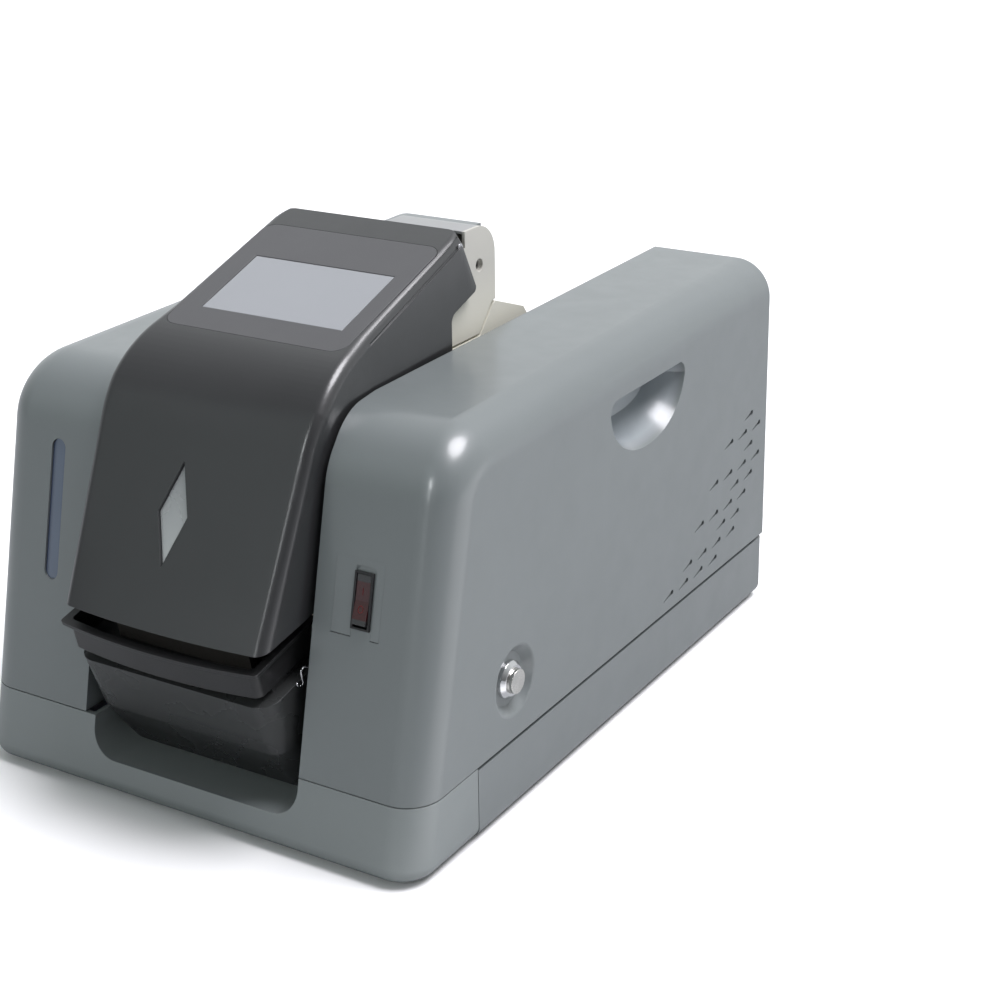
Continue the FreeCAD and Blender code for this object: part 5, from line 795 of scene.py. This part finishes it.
# The rocker's marks: how far they stand out, how far up and down as a share of the rocker's
# height, the half sizes of the bar and the ring, and the share of each that its inner border has
MARK_LIFT = 0.05 * MM
MARK_SHARE = 0.17
BAR_HALF = (0.28 * MM, 1.9 * MM)
BAR_INNER = 0.02
RING_HALF = (1.75 * MM, 1.95 * MM)
RING_INNER = 0.72
RING_SIDES = 28


def ribbon(work, skin, outline, inner):
    """A raised band on a surface between an outline and a smaller one in it."""
    middle = sum((Vector(spot) for spot in outline), Vector((0, 0))) / len(outline)
    rows = []
    for share, out in ((1, -MARK_LIFT), (1, MARK_LIFT), (inner, MARK_LIFT), (inner, -MARK_LIFT)):
        spots = [middle + (Vector(spot) - middle) * share for spot in outline]
        rows.append([work.verts.new(cast(skin, spot.x, spot.y, out)) for spot in spots])
    close_rows(work, rows + rows[:1])


def rocker_marks(made):
    """A bar on the upper half of the rocker and a ring on its lower half."""
    skin = skin_of("switch_rocker")
    low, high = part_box("switch_rocker")
    pane_low, pane_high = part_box("switch_body")
    x = (pane_low.x + pane_high.x) / 2
    middle = (high.z + low.z) / 2
    away = (high.z - low.z) * MARK_SHARE
    corners = ((-1, -1), (1, -1), (1, 1), (-1, 1))
    bar = [(x + u * BAR_HALF[0], middle + away + v * BAR_HALF[1]) for u, v in corners]
    turns = [math.tau * step / RING_SIDES for step in range(RING_SIDES)]
    ring = [(x + math.cos(t) * RING_HALF[0], middle - away + math.sin(t) * RING_HALF[1]) for t in turns]
    work = bmesh.new()
    ribbon(work, skin, bar, BAR_INNER)
    ribbon(work, skin, ring, RING_INNER)
    piece_from(work, "rocker_marks", made["mark"], "rocker")


# The blank plate round the switch: its borders across and up, the gap at the switch, how far below
# the top of the switch its hole ends, the grid's step, and where its two faces lie off the cover
PLATE_X = (86.6 * MM, 117 * MM)
PLATE_Z = (127.5 * MM, 168.2 * MM)
PLATE_GAP = 0.35 * MM
PLATE_DROP = 1.2 * MM
PLATE_STEP = 4 * MM
PLATE_OUT = 0.09 * MM
PLATE_IN = -0.5 * MM


def grid_between(stops):
    """Every stop, and even places between them no more than a step apart."""
    places = []
    for start, end in zip(stops, stops[1:]):
        count = max(1, math.ceil((end - start) / PLATE_STEP))
        places += [start + (end - start) * number / count for number in range(count)]
    return places + [stops[-1]]


def switch_plate(made):
    """A thin blank plate round the switch, which follows the cover's front."""
    skin = skin_of("right_cover")
    low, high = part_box("switch_body")
    hole_x = (low.x - PLATE_GAP, high.x + PLATE_GAP)
    hole_z = (low.z - PLATE_GAP, high.z - PLATE_DROP)
    across = grid_between([PLATE_X[0], *hole_x, PLATE_X[1]])
    upward = grid_between([PLATE_Z[0], *hole_z, PLATE_Z[1]])

    def in_hole(x, z):
        return hole_x[0] < x < hole_x[1] and hole_z[0] < z < hole_z[1]

    work = bmesh.new()
    front, back = {}, {}
    for layer, out in ((front, PLATE_OUT), (back, PLATE_IN)):
        for x in across:
            for z in upward:
                if not in_hole(x, z):
                    layer[x, z] = work.verts.new((x, cast(skin, x, z, 0).y - out, z))
    edges = {}
    for left, right in zip(across, across[1:]):
        for base, top in zip(upward, upward[1:]):
            if in_hole((left + right) / 2, (base + top) / 2):
                continue
            spots = [(left, base), (right, base), (right, top), (left, top)]
            work.faces.new([front[spot] for spot in spots])
            work.faces.new([back[spot] for spot in reversed(spots)])
            for first, last in zip(spots, spots[1:] + spots[:1]):
                key = frozenset((first, last))
                edges[key] = edges.get(key, 0) + 1
    for key, count in edges.items():
        if count == 1:
            first, last = tuple(key)
            work.faces.new((front[first], front[last], back[last], back[first]))
    piece_from(work, "switch_plate", made["plate"], "casing")


make_camera()
make_sky()
make_suns()
make_floor()
made = make_finishes()
finish_nodes(made)
bowed_hood(made)
wire_hook(made)
rocker_marks(made)
switch_plate(made)
